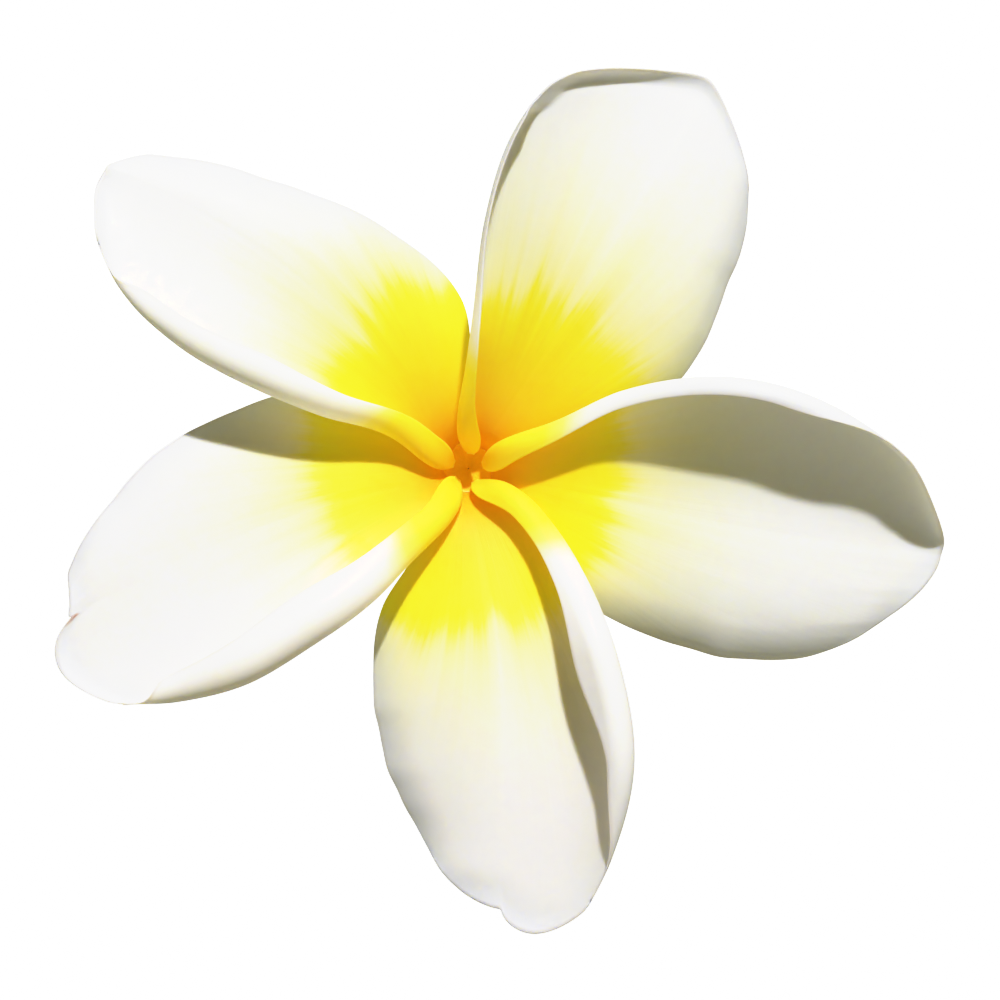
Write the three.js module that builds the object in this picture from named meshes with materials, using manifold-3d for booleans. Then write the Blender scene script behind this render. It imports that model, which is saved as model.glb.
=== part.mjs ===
// A plumeria flower, picked with a short piece of its stalk and lying down on two petals and the stalk's cut.
// Lengths are millimetres and angles degrees.
//
// The flower is drawn in its own frame first: +Z runs out of the throat along the tube's axis, the mouth of
// the tube is near z = 0, and headings turn anticlockwise from +X as the open flower is looked into.
// One group then turns that frame into the lying pose, with +Z up and the surface at z = 0.
import * as THREE from "three";
import { mergeVertices } from "three/addons/utils/BufferGeometryUtils.js";
import Module from "manifold-3d";

const wasm = await Module();
wasm.setup();

// ---- Petals ----------------------------------------------------------------------------------------
// Every petal overlaps the next one like a blade of a pinwheel. Its leading side rises and rolls inward over
// a flap, and its trailing side droops under the neighbour's rolled side.
// trailing and leading are the half widths either side of the midrib at STATIONS, shares of the length.
// flap is how far the rolled margin reaches back over the petal at the same stations.
// growth is how far out the cup and the droop reach full depth. cupPower and droopPower say how late they
// bend away. fall turns the trailing margin's last stretch further down, and curl turns the tip's rim up from
// curlFrom across. tipRadius is what the roll narrows to at the tip, opens how many degrees short of that it
// stays there, and stand the straight stretch past it.
const STATIONS = [0.1, 0.25, 0.45, 0.65, 0.85, 1.0];
const PETALS = [
  {
    heading: 140.3, length: 38.5, bow: -3.2,
    trailing: [4.6, 8.7, 8.2, 6.0, 3.7, 1.6], leading: [2.8, 6.9, 9.7, 10.5, 8.9, 4.5],
    flap: [2.2, 2.4, 2.8, 1.9, 1.0, 0.1], rollRadius: 1.6,
    rollTurn: 120, tipRadius: 0.6, opens: 0, stand: 0,
    cup: 2.5, cupPower: 2.4, cupFade: 0.3, droop: 2, droopPower: 2, fall: 0, growth: 13,
    tilt: 3.5, tipSlope: -6, curl: 0.6, curlFrom: -1,
    trailingShoulder: 0.925, trailingCap: 2, leadingShoulder: 0.94, leadingCap: 2.3,
    trailingLobe: -0.1, leadingLobe: 0.3, lobePower: 1.5, notch: 0,
  },
  {
    heading: 58.3, length: 37.75, bow: -0.5,
    trailing: [4.6, 9.6, 11.4, 10.2, 8.8, 6.8], leading: [3.8, 6.6, 10.1, 11.8, 10.7, 7.4],
    flap: [1.2, 0.6, 0.5, 0.5, 0.4, 0.1], rollRadius: 1.7,
    rollTurn: 100, tipRadius: 1.5, opens: 33, stand: 1.6,
    cup: 3.2, cupPower: 2.4, cupFade: 0.2, droop: 1.6, droopPower: 3, fall: 1.2, growth: 9,
    tilt: 3, tipSlope: -10, curl: 1.3, curlFrom: -1,
    trailingShoulder: 0.7, trailingCap: 1.6, leadingShoulder: 0.765, leadingCap: 1.9,
    trailingLobe: -0.3, leadingLobe: -0.3, lobePower: 1.5, notch: 0,
  },
  {
    heading: -10.7, length: 39.6, bow: -0.6,
    trailing: [4.8, 8.8, 11.0, 11.2, 9.2, 7.0], leading: [4.5, 9.1, 11.7, 11.4, 8.4, 3.6],
    flap: [1.8, 1.4, 1.4, 1.2, 0.6, 0.1], rollRadius: 1,
    rollTurn: 100, tipRadius: 1, opens: 8, stand: 0.6,
    cup: 5.8, cupPower: 2.4, cupFade: 0.1, droop: 2.2, droopPower: 3.5, fall: 0.6, growth: 20,
    tilt: 3, tipSlope: -6, curl: 0.5, curlFrom: -0.7,
    trailingShoulder: 0.71, trailingCap: 1.7, leadingShoulder: 0.88, leadingCap: 2.4,
    trailingLobe: 0.1, leadingLobe: 0.3, lobePower: 1.5, notch: 0,
  },
  {
    heading: -85.7, length: 36.6, bow: 1.5,
    trailing: [4.4, 9.5, 11.1, 10.4, 7.5, 6.2], leading: [5.5, 8.1, 10.0, 10.6, 9.0, 6.6],
    flap: [2.1, 2.5, 3.5, 2.1, 1.6, 1.0], rollRadius: 1.3,
    rollTurn: 125, tipRadius: 0.6, opens: 0, stand: 0,
    cup: 4.5, cupPower: 4, cupFade: 0.4, droop: 3.4, droopPower: 2, fall: 0.6, growth: 15,
    tilt: 4, tipSlope: -6, curl: 0.5, curlFrom: -1,
    trailingShoulder: 0.76, trailingCap: 2.7, leadingShoulder: 0.95, leadingCap: 3.2,
    trailingLobe: -0.5, leadingLobe: 1.6, lobePower: 0.6, notch: 0.2,
  },
  {
    heading: 201, length: 35.4, bow: -1.5,
    trailing: [4.6, 9.7, 10.3, 9.2, 5.8, 2.2], leading: [5.1, 8.7, 10.8, 11.7, 10.4, 8.2],
    flap: [2.6, 3.6, 4.2, 3.6, 2.6, 1.6], rollRadius: 1.9,
    rollTurn: 130, tipRadius: 0.6, opens: 0, stand: 0,
    cup: 2.2, cupPower: 2.4, cupFade: 0.4, droop: 1.4, droopPower: 3, fall: 0, growth: 9,
    tilt: 2.5, tipSlope: -6, curl: 0.6, curlFrom: -1,
    trailingShoulder: 0.93, trailingCap: 1.6, leadingShoulder: 0.965, leadingCap: 2.6,
    trailingLobe: -0.9, leadingLobe: 2.5, lobePower: 0.6, notch: 0.7,
  },
];
const BLADE_THICKNESS = 0.7;
const BASE_HALF_WIDTH = 1.5;   // at the mouth of the tube
const BASE_FLAP = 1.2;
const BASE_SLOPE = 34;         // how steeply a petal leaves the throat
const CUP_AT_BASE = 0.25;      // share of the cup that a petal already has at the mouth
const CUP_FADES = 0.6;         // share of the length past which they fade
const ROLL_NARROWS = 0.6;      // share of the rolled margin past which its radius goes over to the tip's
const FLAP_NARROWS = 0.9;      // share of the rolled margin past which its flap dwindles
const LEAST_FLAP = 0.1;
const LEAST_ROLL = 0.15;       // radians that the margin turns at least
const FALL_POWER = 8;          // how late the trailing margin falls
const CURL_WIDTH = 1.8;        // of the turned-up rim at the tip
const NOTCH_SHARE = 0.07;      // a notch's half width as a share of the petal's
const NOTCH_POWER = 1.3;

// ---- Throat and tube -------------------------------------------------------------------------------
const MOUTH_RADIUS = 1.7;      // middle of the wall where the petals join the tube
const MOUTH_STEP = 0.35;       // a leading side stands this much inside its neighbour's trailing side
const THROAT_DEPTH = 3.4;
const THROAT_TURN = 0.9;       // how quickly a petal turns down into the throat
const MOUTH_REACH = 3.2;       // rows bend round the tube out to about here
const TUBE_TOP = -2;
const TUBE_BOTTOM = -16;
const TUBE_WALL = 0.7;
const TUBE_RADIUS_TOP = 1.95;
const TUBE_RADIUS_WAIST = 1.8;
const TUBE_RADIUS_BULGE = 2.1; // round the stamens
const STAMEN_COUNT = 5;
const STAMEN_LENGTH = 1.8;
const STAMEN_RADIUS = 0.35;
const STAMEN_HEIGHT = -12.8;

// ---- Calyx, stalk and pistil -----------------------------------------------------------------------
const CLEARANCE = 0.3;
const CUP_FLOOR = TUBE_BOTTOM - CLEARANCE;
const CALYX_RIM = -14.2;
const CALYX_WALL = 0.65;
const CALYX_LOBES = 5;
const CALYX_LOBE = new THREE.Vector3(0.45, 1.25, 1.6);   // half sizes: out, round and up
const STALK_RADIUS = 1.25;
const STALK_FOOT = -25;        // the surface cuts it off well above this
const PISTIL_STYLE = 0.35;
const PISTIL_OVARY = 0.85;
const PISTIL_HEAD = 0.5;
const PISTIL_TOP = -11.6;

// ---- Lying pose ------------------------------------------------------------------------------------
const LYING_HEADING = -121.4;  // the side of the flower that lies lowest
const LYING_LEAN = 39.8;       // from the upright axis to the flower's own
const LYING_SHIFT = new THREE.Vector3(0.09, 1.25, 16.81);

// ---- How finely the solids are faceted -------------------------------------------------------------
const BLADE_COLUMNS = 11;
const FLAP_COLUMNS = 5;
const PETAL_ROWS = 18;
const MARGIN_CROWDING = 0.35;  // how far columns crowd towards the margins, from 0 to 1
const THROAT_CROWDING = 1.2;   // rows crowd towards the throat as this power of their share
const ROUND_SIDES = 20;

const RADIANS = Math.PI / 180;
const clamp = THREE.MathUtils.clamp;

/** Rises smoothly from 0 to 1 as share goes from 0 to 1. */
function smooth(share) {
  return THREE.MathUtils.smoothstep(share, 0, 1);
}

/** A smooth curve through a value at the mouth and the values at STATIONS. */
function profile(base, values, share) {
  const at = [0, ...STATIONS];
  const all = [base, ...values];
  const last = all.length - 1;
  const chord = (i) => (all[i + 1] - all[i]) / (at[i + 1] - at[i]);
  const slope = (i) => {
    if (i === 0) return chord(0);
    if (i === last) return chord(last - 1);
    return (all[i + 1] - all[i - 1]) / (at[i + 1] - at[i - 1]);
  };
  let i = 0;
  while (i < last - 1 && share >= at[i + 1]) i += 1;
  const width = at[i + 1] - at[i];
  const t = (share - at[i]) / width;
  if (t > 1) return all[last] + (share - at[last]) * chord(last - 1);
  const near = (2 * t - 3) * t * t + 1;
  const far = (3 - 2 * t) * t * t;
  return near * all[i] + far * all[i + 1]
    + width * ((t - 2) * t * t + t) * slope(i) + width * (t - 1) * t * t * slope(i + 1);
}

/** What share of the half width a leading column stands aside by the tip, as seen from above. */
function planShare(petal, across) {
  const { half, margin } = leadingSide(petal, petal.leadingShoulder * petal.length);
  const arc = margin.last - margin.first;
  const run = clamp(across - 1, 0, 1) * (arc + margin.flat / margin.radius);
  const angle = Math.min(margin.first + run, margin.last, Math.PI / 2);
  const leans = Math.max(run - arc, 0) * Math.max(Math.cos(margin.last), 0);
  const rolled = margin.radius * (Math.sin(angle) - Math.sin(margin.first) + leans);
  return Math.min((clamp(across, 0, 1) * margin.start + rolled) / half, 1);
}

/** How far the blade reaches along a column, across as in section. */
function columnLength(petal, across) {
  const leads = across > 0;
  const shoulder = leads ? petal.leadingShoulder : petal.trailingShoulder;
  const cap = leads ? petal.leadingCap : petal.trailingCap;
  const lobe = leads ? petal.leadingLobe : petal.trailingLobe;
  const a = leads ? planShare(petal, across) : Math.min(-across, 1);
  const round = shoulder + (1 - shoulder) * Math.sqrt(1 - a ** cap);
  const notch = petal.notch * Math.exp(-((a / NOTCH_SHARE) ** NOTCH_POWER));
  return petal.length * round + lobe * Math.max(Math.sin(Math.PI * a), 0) ** petal.lobePower - notch;
}

/** The midrib's height at y along the petal: it dives into the throat and levels out towards the tip. */
function midribHeight(petal, y) {
  const base = Math.tan(BASE_SLOPE * RADIANS);
  const tip = Math.tan(petal.tipSlope * RADIANS);
  const left = 1 - y / petal.length;
  const rise = tip * y + (base - tip) * petal.length / 3 * (1 - left ** 3);
  return rise - THROAT_DEPTH * Math.exp(-y / THROAT_TURN);
}

/** The rolled margin's arc at y: its radius, where it starts, its first and last direction, and its flap. */
function rolledMargin(petal, y, half, cup, tilt) {
  const share = y / petal.length;
  const ends = smooth((share / petal.leadingShoulder - ROLL_NARROWS) / (1 - ROLL_NARROWS));
  const turn = petal.rollTurn * RADIANS;
  const radius = petal.rollRadius + ends * (petal.tipRadius - petal.rollRadius);
  const narrows = 1 - smooth((share / petal.leadingShoulder - FLAP_NARROWS) / (1 - FLAP_NARROWS));
  const reach = Math.max(profile(BASE_FLAP, petal.flap, share) * narrows, LEAST_FLAP);
  const over = Math.acos(clamp(1 - reach / radius, Math.cos(turn), 1));
  const rest = Math.max(reach - radius * (1 - Math.cos(over)), 0) / Math.max(Math.sin(over), 0.5);
  const flat = (over > 0.9 * turn ? rest : 0) + ends * petal.stand;
  const wanted = Math.PI / 2 + over - ends * petal.opens * RADIANS;
  let first = Math.atan(tilt + cup * petal.cupPower / half);
  let last = wanted;
  let start = half;
  for (let pass = 0; pass < 3; pass += 1) {
    last = Math.max(wanted, first + LEAST_ROLL);
    const out = radius * (Math.sin(Math.min(last, Math.PI / 2)) - Math.sin(first));
    start = Math.max(half - out - flat * Math.max(Math.cos(last), 0), 0.3 * half);
    first = Math.atan(tilt + cup * petal.cupPower / half * (start / half) ** (petal.cupPower - 1));
  }
  last = Math.max(wanted, first + LEAST_ROLL);
  return { radius, start, first, last, flat };
}

/** How much of the cup and the droop there is at y. */
function bending(petal, y) {
  const kept = 1 - petal.cupFade * smooth((y / petal.length - CUP_FADES) / (1 - CUP_FADES));
  return { grown: smooth(y / petal.growth), kept, tilt: Math.tan(petal.tilt * RADIANS) };
}

/** The leading side at y: its half width, its cup and its rolled margin. */
function leadingSide(petal, y) {
  const { grown, kept, tilt } = bending(petal, y);
  const half = profile(BASE_HALF_WIDTH, petal.leading, y / petal.length);
  const cup = petal.cup * (CUP_AT_BASE + (1 - CUP_AT_BASE) * grown) * kept;
  return { half, cup, margin: rolledMargin(petal, y, half, cup, tilt) };
}

/** Sideways place and height of a point of the cross section. across past 1 runs along the rolled margin. */
function section(petal, y, across) {
  const { grown, kept, tilt } = bending(petal, y);
  if (across < 0) {
    const aside = across * profile(BASE_HALF_WIDTH, petal.trailing, y / petal.length);
    const droop = petal.droop * grown * kept * Math.abs(across) ** petal.droopPower;
    return { aside, up: aside * tilt - droop - petal.fall * grown * across ** FALL_POWER };
  }
  const { half, cup, margin } = leadingSide(petal, y);
  const inside = Math.min(across, 1) * margin.start;
  const up = inside * tilt + cup * (inside / half) ** petal.cupPower;
  if (across <= 1) return { aside: inside, up };
  const { radius } = margin;
  const arc = radius * (margin.last - margin.first);
  const along = (across - 1) * (arc + margin.flat);
  const angle = Math.min(margin.first + along / radius, margin.last);
  const past = Math.max(along - arc, 0);
  return {
    aside: inside + radius * (Math.sin(angle) - Math.sin(margin.first)) + past * Math.cos(margin.last),
    up: up + radius * (Math.cos(margin.first) - Math.cos(angle)) + past * Math.sin(margin.last),
  };
}

/** How far the tip's rim turns up at y along and across. */
function tipCurl(petal, y, across) {
  const near = clamp(1 - (columnLength(petal, across) - y) / CURL_WIDTH, 0, 1);
  const side = clamp((across - petal.curlFrom) / (1 - petal.curlFrom), 0, 1);
  return petal.curl * side * (1 - smooth(across - 1)) * near * near;
}

/** A point of the petal's middle surface, y along it and across it as in section. */
function petalPoint(petal, y, across) {
  const { aside, up } = section(petal, y, across);
  const share = y / petal.length;
  const heading = petal.heading * RADIANS;
  const ahead = new THREE.Vector2(Math.cos(heading), Math.sin(heading));
  const left = new THREE.Vector2(-ahead.y, ahead.x);
  const way = ahead.clone().addScaledVector(left, 4 * petal.bow * (1 - 2 * share) / petal.length).normalize();
  const flat = ahead.clone().multiplyScalar(MOUTH_RADIUS + y)
    .addScaledVector(left, 4 * petal.bow * share * (1 - share))
    .addScaledVector(new THREE.Vector2(-way.y, way.x), aside);
  const ring = MOUTH_RADIUS + y - MOUTH_STEP * clamp(across, -1, 1) * Math.exp(-y / 2);
  const angle = heading + aside / (MOUTH_RADIUS + 0.8 * y);
  const bent = new THREE.Vector2(ring * Math.cos(angle), ring * Math.sin(angle));
  flat.lerp(bent, Math.exp(-((y / MOUTH_REACH) ** 2)));
  return new THREE.Vector3(flat.x, flat.y, midribHeight(petal, y) + up + tipCurl(petal, y, across));
}

/** The unit normal of the petal's upper face there. */
function petalNormal(petal, y, across) {
  const step = 0.01;
  const from = (dy, da) => petalPoint(petal, Math.max(y + dy, 0), clamp(across + da, -1, 2));
  const alongY = from(step, 0).sub(from(-step, 0));
  const alongAcross = from(0, step).sub(from(0, -step));
  return alongY.cross(alongAcross).normalize();
}

/** Column places from the trailing margin to the flap's free edge, closer together at the margins. */
function columns() {
  const places = [];
  for (let i = 0; i <= BLADE_COLUMNS; i += 1) {
    const even = -1 + 2 * i / BLADE_COLUMNS;
    places.push(MARGIN_CROWDING * Math.sin(even * Math.PI / 2) + (1 - MARGIN_CROWDING) * even);
  }
  for (let i = 1; i <= FLAP_COLUMNS; i += 1) places.push(1 + i / FLAP_COLUMNS);
  return places;
}

/** One petal as a closed blade: the middle surface moved half the thickness up and down, with its rim. */
function petalGeometry(petal) {
  const places = columns();
  const rows = PETAL_ROWS + 1;
  const layer = places.length * rows;
  const positions = [];
  for (const side of [0.5, -0.5]) {
    for (const across of places) {
      for (let j = 0; j < rows; j += 1) {
        const y = (j / PETAL_ROWS) ** THROAT_CROWDING * columnLength(petal, across);
        const point = petalPoint(petal, y, across);
        point.addScaledVector(petalNormal(petal, y, across), side * BLADE_THICKNESS);
        positions.push(point.x, point.y, point.z);
      }
    }
  }
  const indices = [];
  const quad = (a, b, c, d) => indices.push(a, b, c, a, c, d);
  const at = (i, j) => i * rows + j;
  for (let i = 0; i + 1 < places.length; i += 1) {
    for (let j = 0; j < PETAL_ROWS; j += 1) {
      indices.push(at(i, j), at(i, j + 1), at(i + 1, j + 1), at(i, j), at(i + 1, j + 1), at(i + 1, j));
      indices.push(layer + at(i, j), layer + at(i + 1, j + 1), layer + at(i, j + 1));
      indices.push(layer + at(i, j), layer + at(i + 1, j), layer + at(i + 1, j + 1));
    }
  }
  const rim = [];
  for (let i = 0; i < places.length; i += 1) rim.push(at(i, 0));
  for (let j = 1; j < rows; j += 1) rim.push(at(places.length - 1, j));
  for (let i = places.length - 2; i >= 0; i -= 1) rim.push(at(i, rows - 1));
  for (let j = rows - 2; j > 0; j -= 1) rim.push(at(0, j));
  rim.forEach((vertex, k) => {
    const next = rim[(k + 1) % rim.length];
    quad(vertex, next, layer + next, layer + vertex);
  });
  const geometry = new THREE.BufferGeometry();
  geometry.setAttribute("position", new THREE.Float32BufferAttribute(positions, 3));
  geometry.setIndex(indices);
  return geometry;
}

/** A closed geometry as a solid that can be joined and cut. */
function solid(geometry) {
  const bare = geometry.clone();
  bare.deleteAttribute("normal");
  bare.deleteAttribute("uv");
  const merged = mergeVertices(bare, 1e-5);
  return new wasm.Manifold(new wasm.Mesh({
    numProp: 3,
    vertProperties: new Float32Array(merged.attributes.position.array),
    triVerts: new Uint32Array(merged.index.array),
  }));
}

/** The largest body of a solid, so that no loose scrap or sealed hollow is left in it. */
function largestBody(whole) {
  return whole.decompose().reduce((best, body) => (body.volume() > best.volume() ? body : best));
}

/** A solid of revolution about the tube's axis from [radius, height] corners. */
function turned(corners) {
  const profilePoints = corners.map(([radius, height]) => new THREE.Vector2(radius, height));
  const lathe = new THREE.LatheGeometry(profilePoints, ROUND_SIDES);
  return lathe.rotateX(Math.PI / 2);
}

/** An ellipsoid of the given half sizes, standing at a radius and height on a heading. */
function ellipsoid(halves, radius, height, heading) {
  return new THREE.SphereGeometry(1, 10, 8)
    .rotateX(Math.PI / 2)
    .scale(halves.x, halves.y, halves.z)
    .translate(radius, 0, height)
    .rotateZ(heading);
}

/** The flower's frame in the lying pose. */
function lyingFrame() {
  const frame = new THREE.Group();
  frame.rotation.set(LYING_LEAN * RADIANS, 0, (-90 - LYING_HEADING) * RADIANS);
  frame.position.copy(LYING_SHIFT);
  frame.updateMatrix();
  return frame;
}

/** Everything below the surface that the flower lies on, in the flower's own frame. */
function groundSolid(frame) {
  const depth = 60;
  const ground = new THREE.BoxGeometry(200, 200, depth).translate(0, 0, -depth / 2);
  return solid(ground.applyMatrix4(frame.matrix.clone().invert()));
}

/** The tube: slender, a little wider round the stamens, open at both ends. */
function tubeSolid() {
  const length = TUBE_TOP - TUBE_BOTTOM;
  const outline = new THREE.CatmullRomCurve3([
    new THREE.Vector3(TUBE_RADIUS_BULGE, TUBE_BOTTOM, 0),
    new THREE.Vector3(TUBE_RADIUS_BULGE, TUBE_BOTTOM + 0.28 * length, 0),
    new THREE.Vector3(TUBE_RADIUS_WAIST, TUBE_BOTTOM + 0.55 * length, 0),
    new THREE.Vector3(TUBE_RADIUS_TOP, TUBE_TOP, 0),
  ]).getPoints(8);
  const outer = outline.map((point) => [point.x, point.y]);
  const inner = outline.map((point) => [point.x - TUBE_WALL, point.y]).reverse();
  return solid(turned([...outer, ...inner, outer[0]]));
}

/** Petals, tube and stamens grow as one piece. */
function corollaGeometry(ground) {
  let body = tubeSolid();
  for (const petal of PETALS) body = body.add(solid(petalGeometry(petal)));
  const reach = TUBE_RADIUS_BULGE - TUBE_WALL - 0.5 * STAMEN_RADIUS;
  for (let i = 0; i < STAMEN_COUNT; i += 1) {
    const halves = new THREE.Vector3(STAMEN_RADIUS, STAMEN_RADIUS, STAMEN_LENGTH / 2);
    body = body.add(solid(ellipsoid(halves, reach, STAMEN_HEIGHT, i * 2 * Math.PI / STAMEN_COUNT)));
  }
  return body.subtract(ground);
}

/** The green cup with its five lobes, and the stalk below it, cut off slanting on the surface. */
function calyxAndStalk(ground) {
  const inner = TUBE_RADIUS_BULGE + CLEARANCE;
  const outer = inner + CALYX_WALL;
  let body = solid(turned([
    [0, STALK_FOOT], [STALK_RADIUS, STALK_FOOT], [STALK_RADIUS, CUP_FLOOR - 2.6],
    [1.2 * STALK_RADIUS, CUP_FLOOR - 1.6], [0.92 * outer, CUP_FLOOR - 0.5], [outer, CUP_FLOOR + 0.6],
    [outer, CALYX_RIM - 0.3], [inner + 0.25, CALYX_RIM], [inner, CALYX_RIM - 0.1], [inner, CUP_FLOOR],
    [0, CUP_FLOOR],
  ]));
  const seat = inner + 0.5 * CALYX_WALL + 0.05;
  for (let i = 0; i < CALYX_LOBES; i += 1) {
    const heading = (i + 0.5) * 2 * Math.PI / CALYX_LOBES;
    const lobe = solid(ellipsoid(CALYX_LOBE, seat, CALYX_RIM, heading));
    body = body.add(lobe);
  }
  const bore = solid(turned([[0, CUP_FLOOR], [inner, CUP_FLOOR], [inner, 0], [0, 0]]));
  return body.subtract(bore).subtract(ground);
}

/** The pistil: ovary, slender style and stigma head, free inside the tube. */
function pistilSolid() {
  const foot = CUP_FLOOR + CLEARANCE;
  return solid(turned([
    [0, foot], [0.7 * PISTIL_OVARY, foot], [PISTIL_OVARY, foot + 0.5], [0.8 * PISTIL_OVARY, foot + 1.1],
    [PISTIL_STYLE, foot + 1.6], [PISTIL_STYLE, PISTIL_TOP - 1.4], [PISTIL_HEAD, PISTIL_TOP - 1],
    [PISTIL_HEAD, PISTIL_TOP - 0.4], [0.5 * PISTIL_HEAD, PISTIL_TOP], [0, PISTIL_TOP],
  ]));
}

/** A named mesh of a solid's largest body, with a material of its own. */
function piece(name, whole, colour, roughness) {
  const mesh = largestBody(whole).getMesh();
  const geometry = new THREE.BufferGeometry();
  geometry.setAttribute("position", new THREE.Float32BufferAttribute(mesh.vertProperties, 3));
  geometry.setIndex([...mesh.triVerts]);
  geometry.computeVertexNormals();
  const finish = new THREE.MeshStandardMaterial({ color: colour, roughness, metalness: 0 });
  const made = new THREE.Mesh(geometry, finish);
  made.name = name;
  return made;
}

const flower = lyingFrame();
const ground = groundSolid(flower);
flower.add(piece("corolla", corollaGeometry(ground), 0xf8f3dc, 0.5));
flower.add(piece("calyx_and_stalk", calyxAndStalk(ground), 0x7d9a4a, 0.6));
flower.add(piece("pistil", pistilSolid(), 0xc9d08a, 0.6));

const part = new THREE.Group();
part.add(flower);
export default part;
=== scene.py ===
"""A plumeria flower lying on two petals and the cut of its stalk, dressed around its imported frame.

Lengths in the dataclasses are millimetres and angles are degrees, unless a name says otherwise. The flower
is shaped in its own frame: +Z runs out of the throat along the tube's axis, the mouth of the tube is near
z = 0, and headings turn anticlockwise from +X as the open flower is looked into. LyingPose sets that frame
down on the surface at z = 0.
"""

from __future__ import annotations

import logging
import math
from collections.abc import Callable
from dataclasses import dataclass, field
from enum import Enum

import bpy
import numpy as np
from mathutils import Matrix, Vector

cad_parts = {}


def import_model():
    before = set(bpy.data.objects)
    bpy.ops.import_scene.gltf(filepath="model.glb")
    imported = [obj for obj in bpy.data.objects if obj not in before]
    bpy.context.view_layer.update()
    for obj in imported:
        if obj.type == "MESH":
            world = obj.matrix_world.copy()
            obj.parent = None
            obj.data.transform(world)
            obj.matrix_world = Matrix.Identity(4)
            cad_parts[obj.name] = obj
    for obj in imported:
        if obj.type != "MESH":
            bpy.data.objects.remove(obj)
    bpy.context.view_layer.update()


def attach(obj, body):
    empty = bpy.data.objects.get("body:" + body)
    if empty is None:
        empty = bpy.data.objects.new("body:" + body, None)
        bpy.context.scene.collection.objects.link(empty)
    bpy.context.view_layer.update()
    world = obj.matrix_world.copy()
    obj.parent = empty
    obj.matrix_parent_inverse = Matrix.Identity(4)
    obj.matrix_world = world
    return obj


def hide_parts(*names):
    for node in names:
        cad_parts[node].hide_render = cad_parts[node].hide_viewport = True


LOG = logging.getLogger("plumeria")
MM = 0.001
BODY = "root"
STATIONS = (0.1, 0.25, 0.45, 0.65, 0.85, 1.0)
NECK_WARMTH = 10.0
CUP_AT_MOUTH = 0.25
FADES_FROM = 0.6
LEAST_FLAP = 0.1
LEAST_ROLL = 0.15
FALL_POWER = 8
RGB = tuple[float, float, float]
Socket = bpy.types.NodeSocket
Surface = Callable[[np.ndarray, np.ndarray], np.ndarray]


class Node(Enum):
    """The CAD nodes that the finished pieces stand for."""

    COROLLA = "corolla"
    GREEN = "calyx_and_stalk"
    PISTIL = "pistil"


class Slot(Enum):
    """The record's material slots."""

    PETAL = "petal"
    GREEN = "green_stalk"
    PISTIL = "pistil"


# ---- Small helpers -----------------------------------------------------------------------------------


def smooth(share: np.ndarray) -> np.ndarray:
    """Rise smoothly from 0 to 1.

    Args:
        share: Values of which 0 to 1 is the rise.

    Returns:
        The eased values, held at 0 and 1 outside.
    """
    held = np.clip(share, 0.0, 1.0)
    return held * held * (3.0 - 2.0 * held)


def profile(base: float, values: tuple[float, ...], share: np.ndarray) -> np.ndarray:
    """Follow a smooth curve through a value at the mouth and the values at STATIONS.

    Args:
        base: The value at share 0.
        values: One value for each station.
        share: Where the curve is read.

    Returns:
        The curve's values, on a straight line past the last station.
    """
    at = np.array((0.0,) + STATIONS)
    known = np.array((base,) + tuple(values))
    chord = np.diff(known) / np.diff(at)
    slope = np.empty_like(known)
    slope[1:-1] = (known[2:] - known[:-2]) / (at[2:] - at[:-2])
    slope[0] = chord[0]
    slope[-1] = chord[-1]
    i = np.clip(np.searchsorted(at, share, side="right") - 1, 0, len(at) - 2)
    width = at[i + 1] - at[i]
    t = (share - at[i]) / width
    held = np.clip(t, 0.0, 1.0)
    near = (2.0 * held - 3.0) * held * held + 1.0
    far = (3.0 - 2.0 * held) * held * held
    curve = near * known[i] + far * known[i + 1]
    curve = curve + width * ((held - 2.0) * held * held + held) * slope[i]
    curve = curve + width * (held - 1.0) * held * held * slope[i + 1]
    return curve + np.where(t > 1.0, (t - 1.0) * width * slope[-1], 0.0)


def smooth_line(corners: tuple[tuple[float, float], ...], steps: int) -> np.ndarray:
    """Draw a smooth line through corners.

    Args:
        corners: The corners in order.
        steps: How many points the line has for each corner.

    Returns:
        Points of the line.
    """
    given = np.array(corners)
    padded = np.concatenate([2 * given[:1] - given[1:2], given, 2 * given[-1:] - given[-2:-1]])
    line = []
    for i in range(1, len(padded) - 2):
        before, here, there, after = padded[i - 1:i + 3]
        for t in np.linspace(0.0, 1.0, steps, endpoint=False):
            bend = 2.0 * here + (there - before) * t
            bend = bend + (2.0 * before - 5.0 * here + 4.0 * there - after) * t**2
            bend = bend + (3.0 * here - before - 3.0 * there + after) * t**3
            line.append(0.5 * bend)
    line.append(given[-1])
    return np.array(line)


def neck_share(height: np.ndarray) -> np.ndarray:
    """Say how much of the tube's pale outer colour a height takes.

    Args:
        height: Heights in the flower's frame, in millimetres.

    Returns:
        1 down the tube, 0 where the petals spread.
    """
    return 1.0 - smooth((height + 5.0) / 5.0)


def wander(seed: int, share: np.ndarray, waves: float, octaves: int = 3) -> np.ndarray:
    """Make a soft irregular wave.

    Args:
        seed: Picks the wave.
        share: Where the wave is read.
        waves: Roughly how many waves fit in a share of 1.
        octaves: How many finer waves are laid over it.

    Returns:
        Values mostly between -1 and 1.
    """
    rng = np.random.default_rng(seed)
    total = np.zeros_like(np.asarray(share, float))
    for octave in range(octaves):
        turns = waves * 1.7**octave * rng.uniform(0.85, 1.15)
        start = rng.uniform(0.0, 1.0)
        total = total + np.sin(2.0 * math.pi * (turns * share + start)) / 1.8**octave
    return total / 1.5


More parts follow.
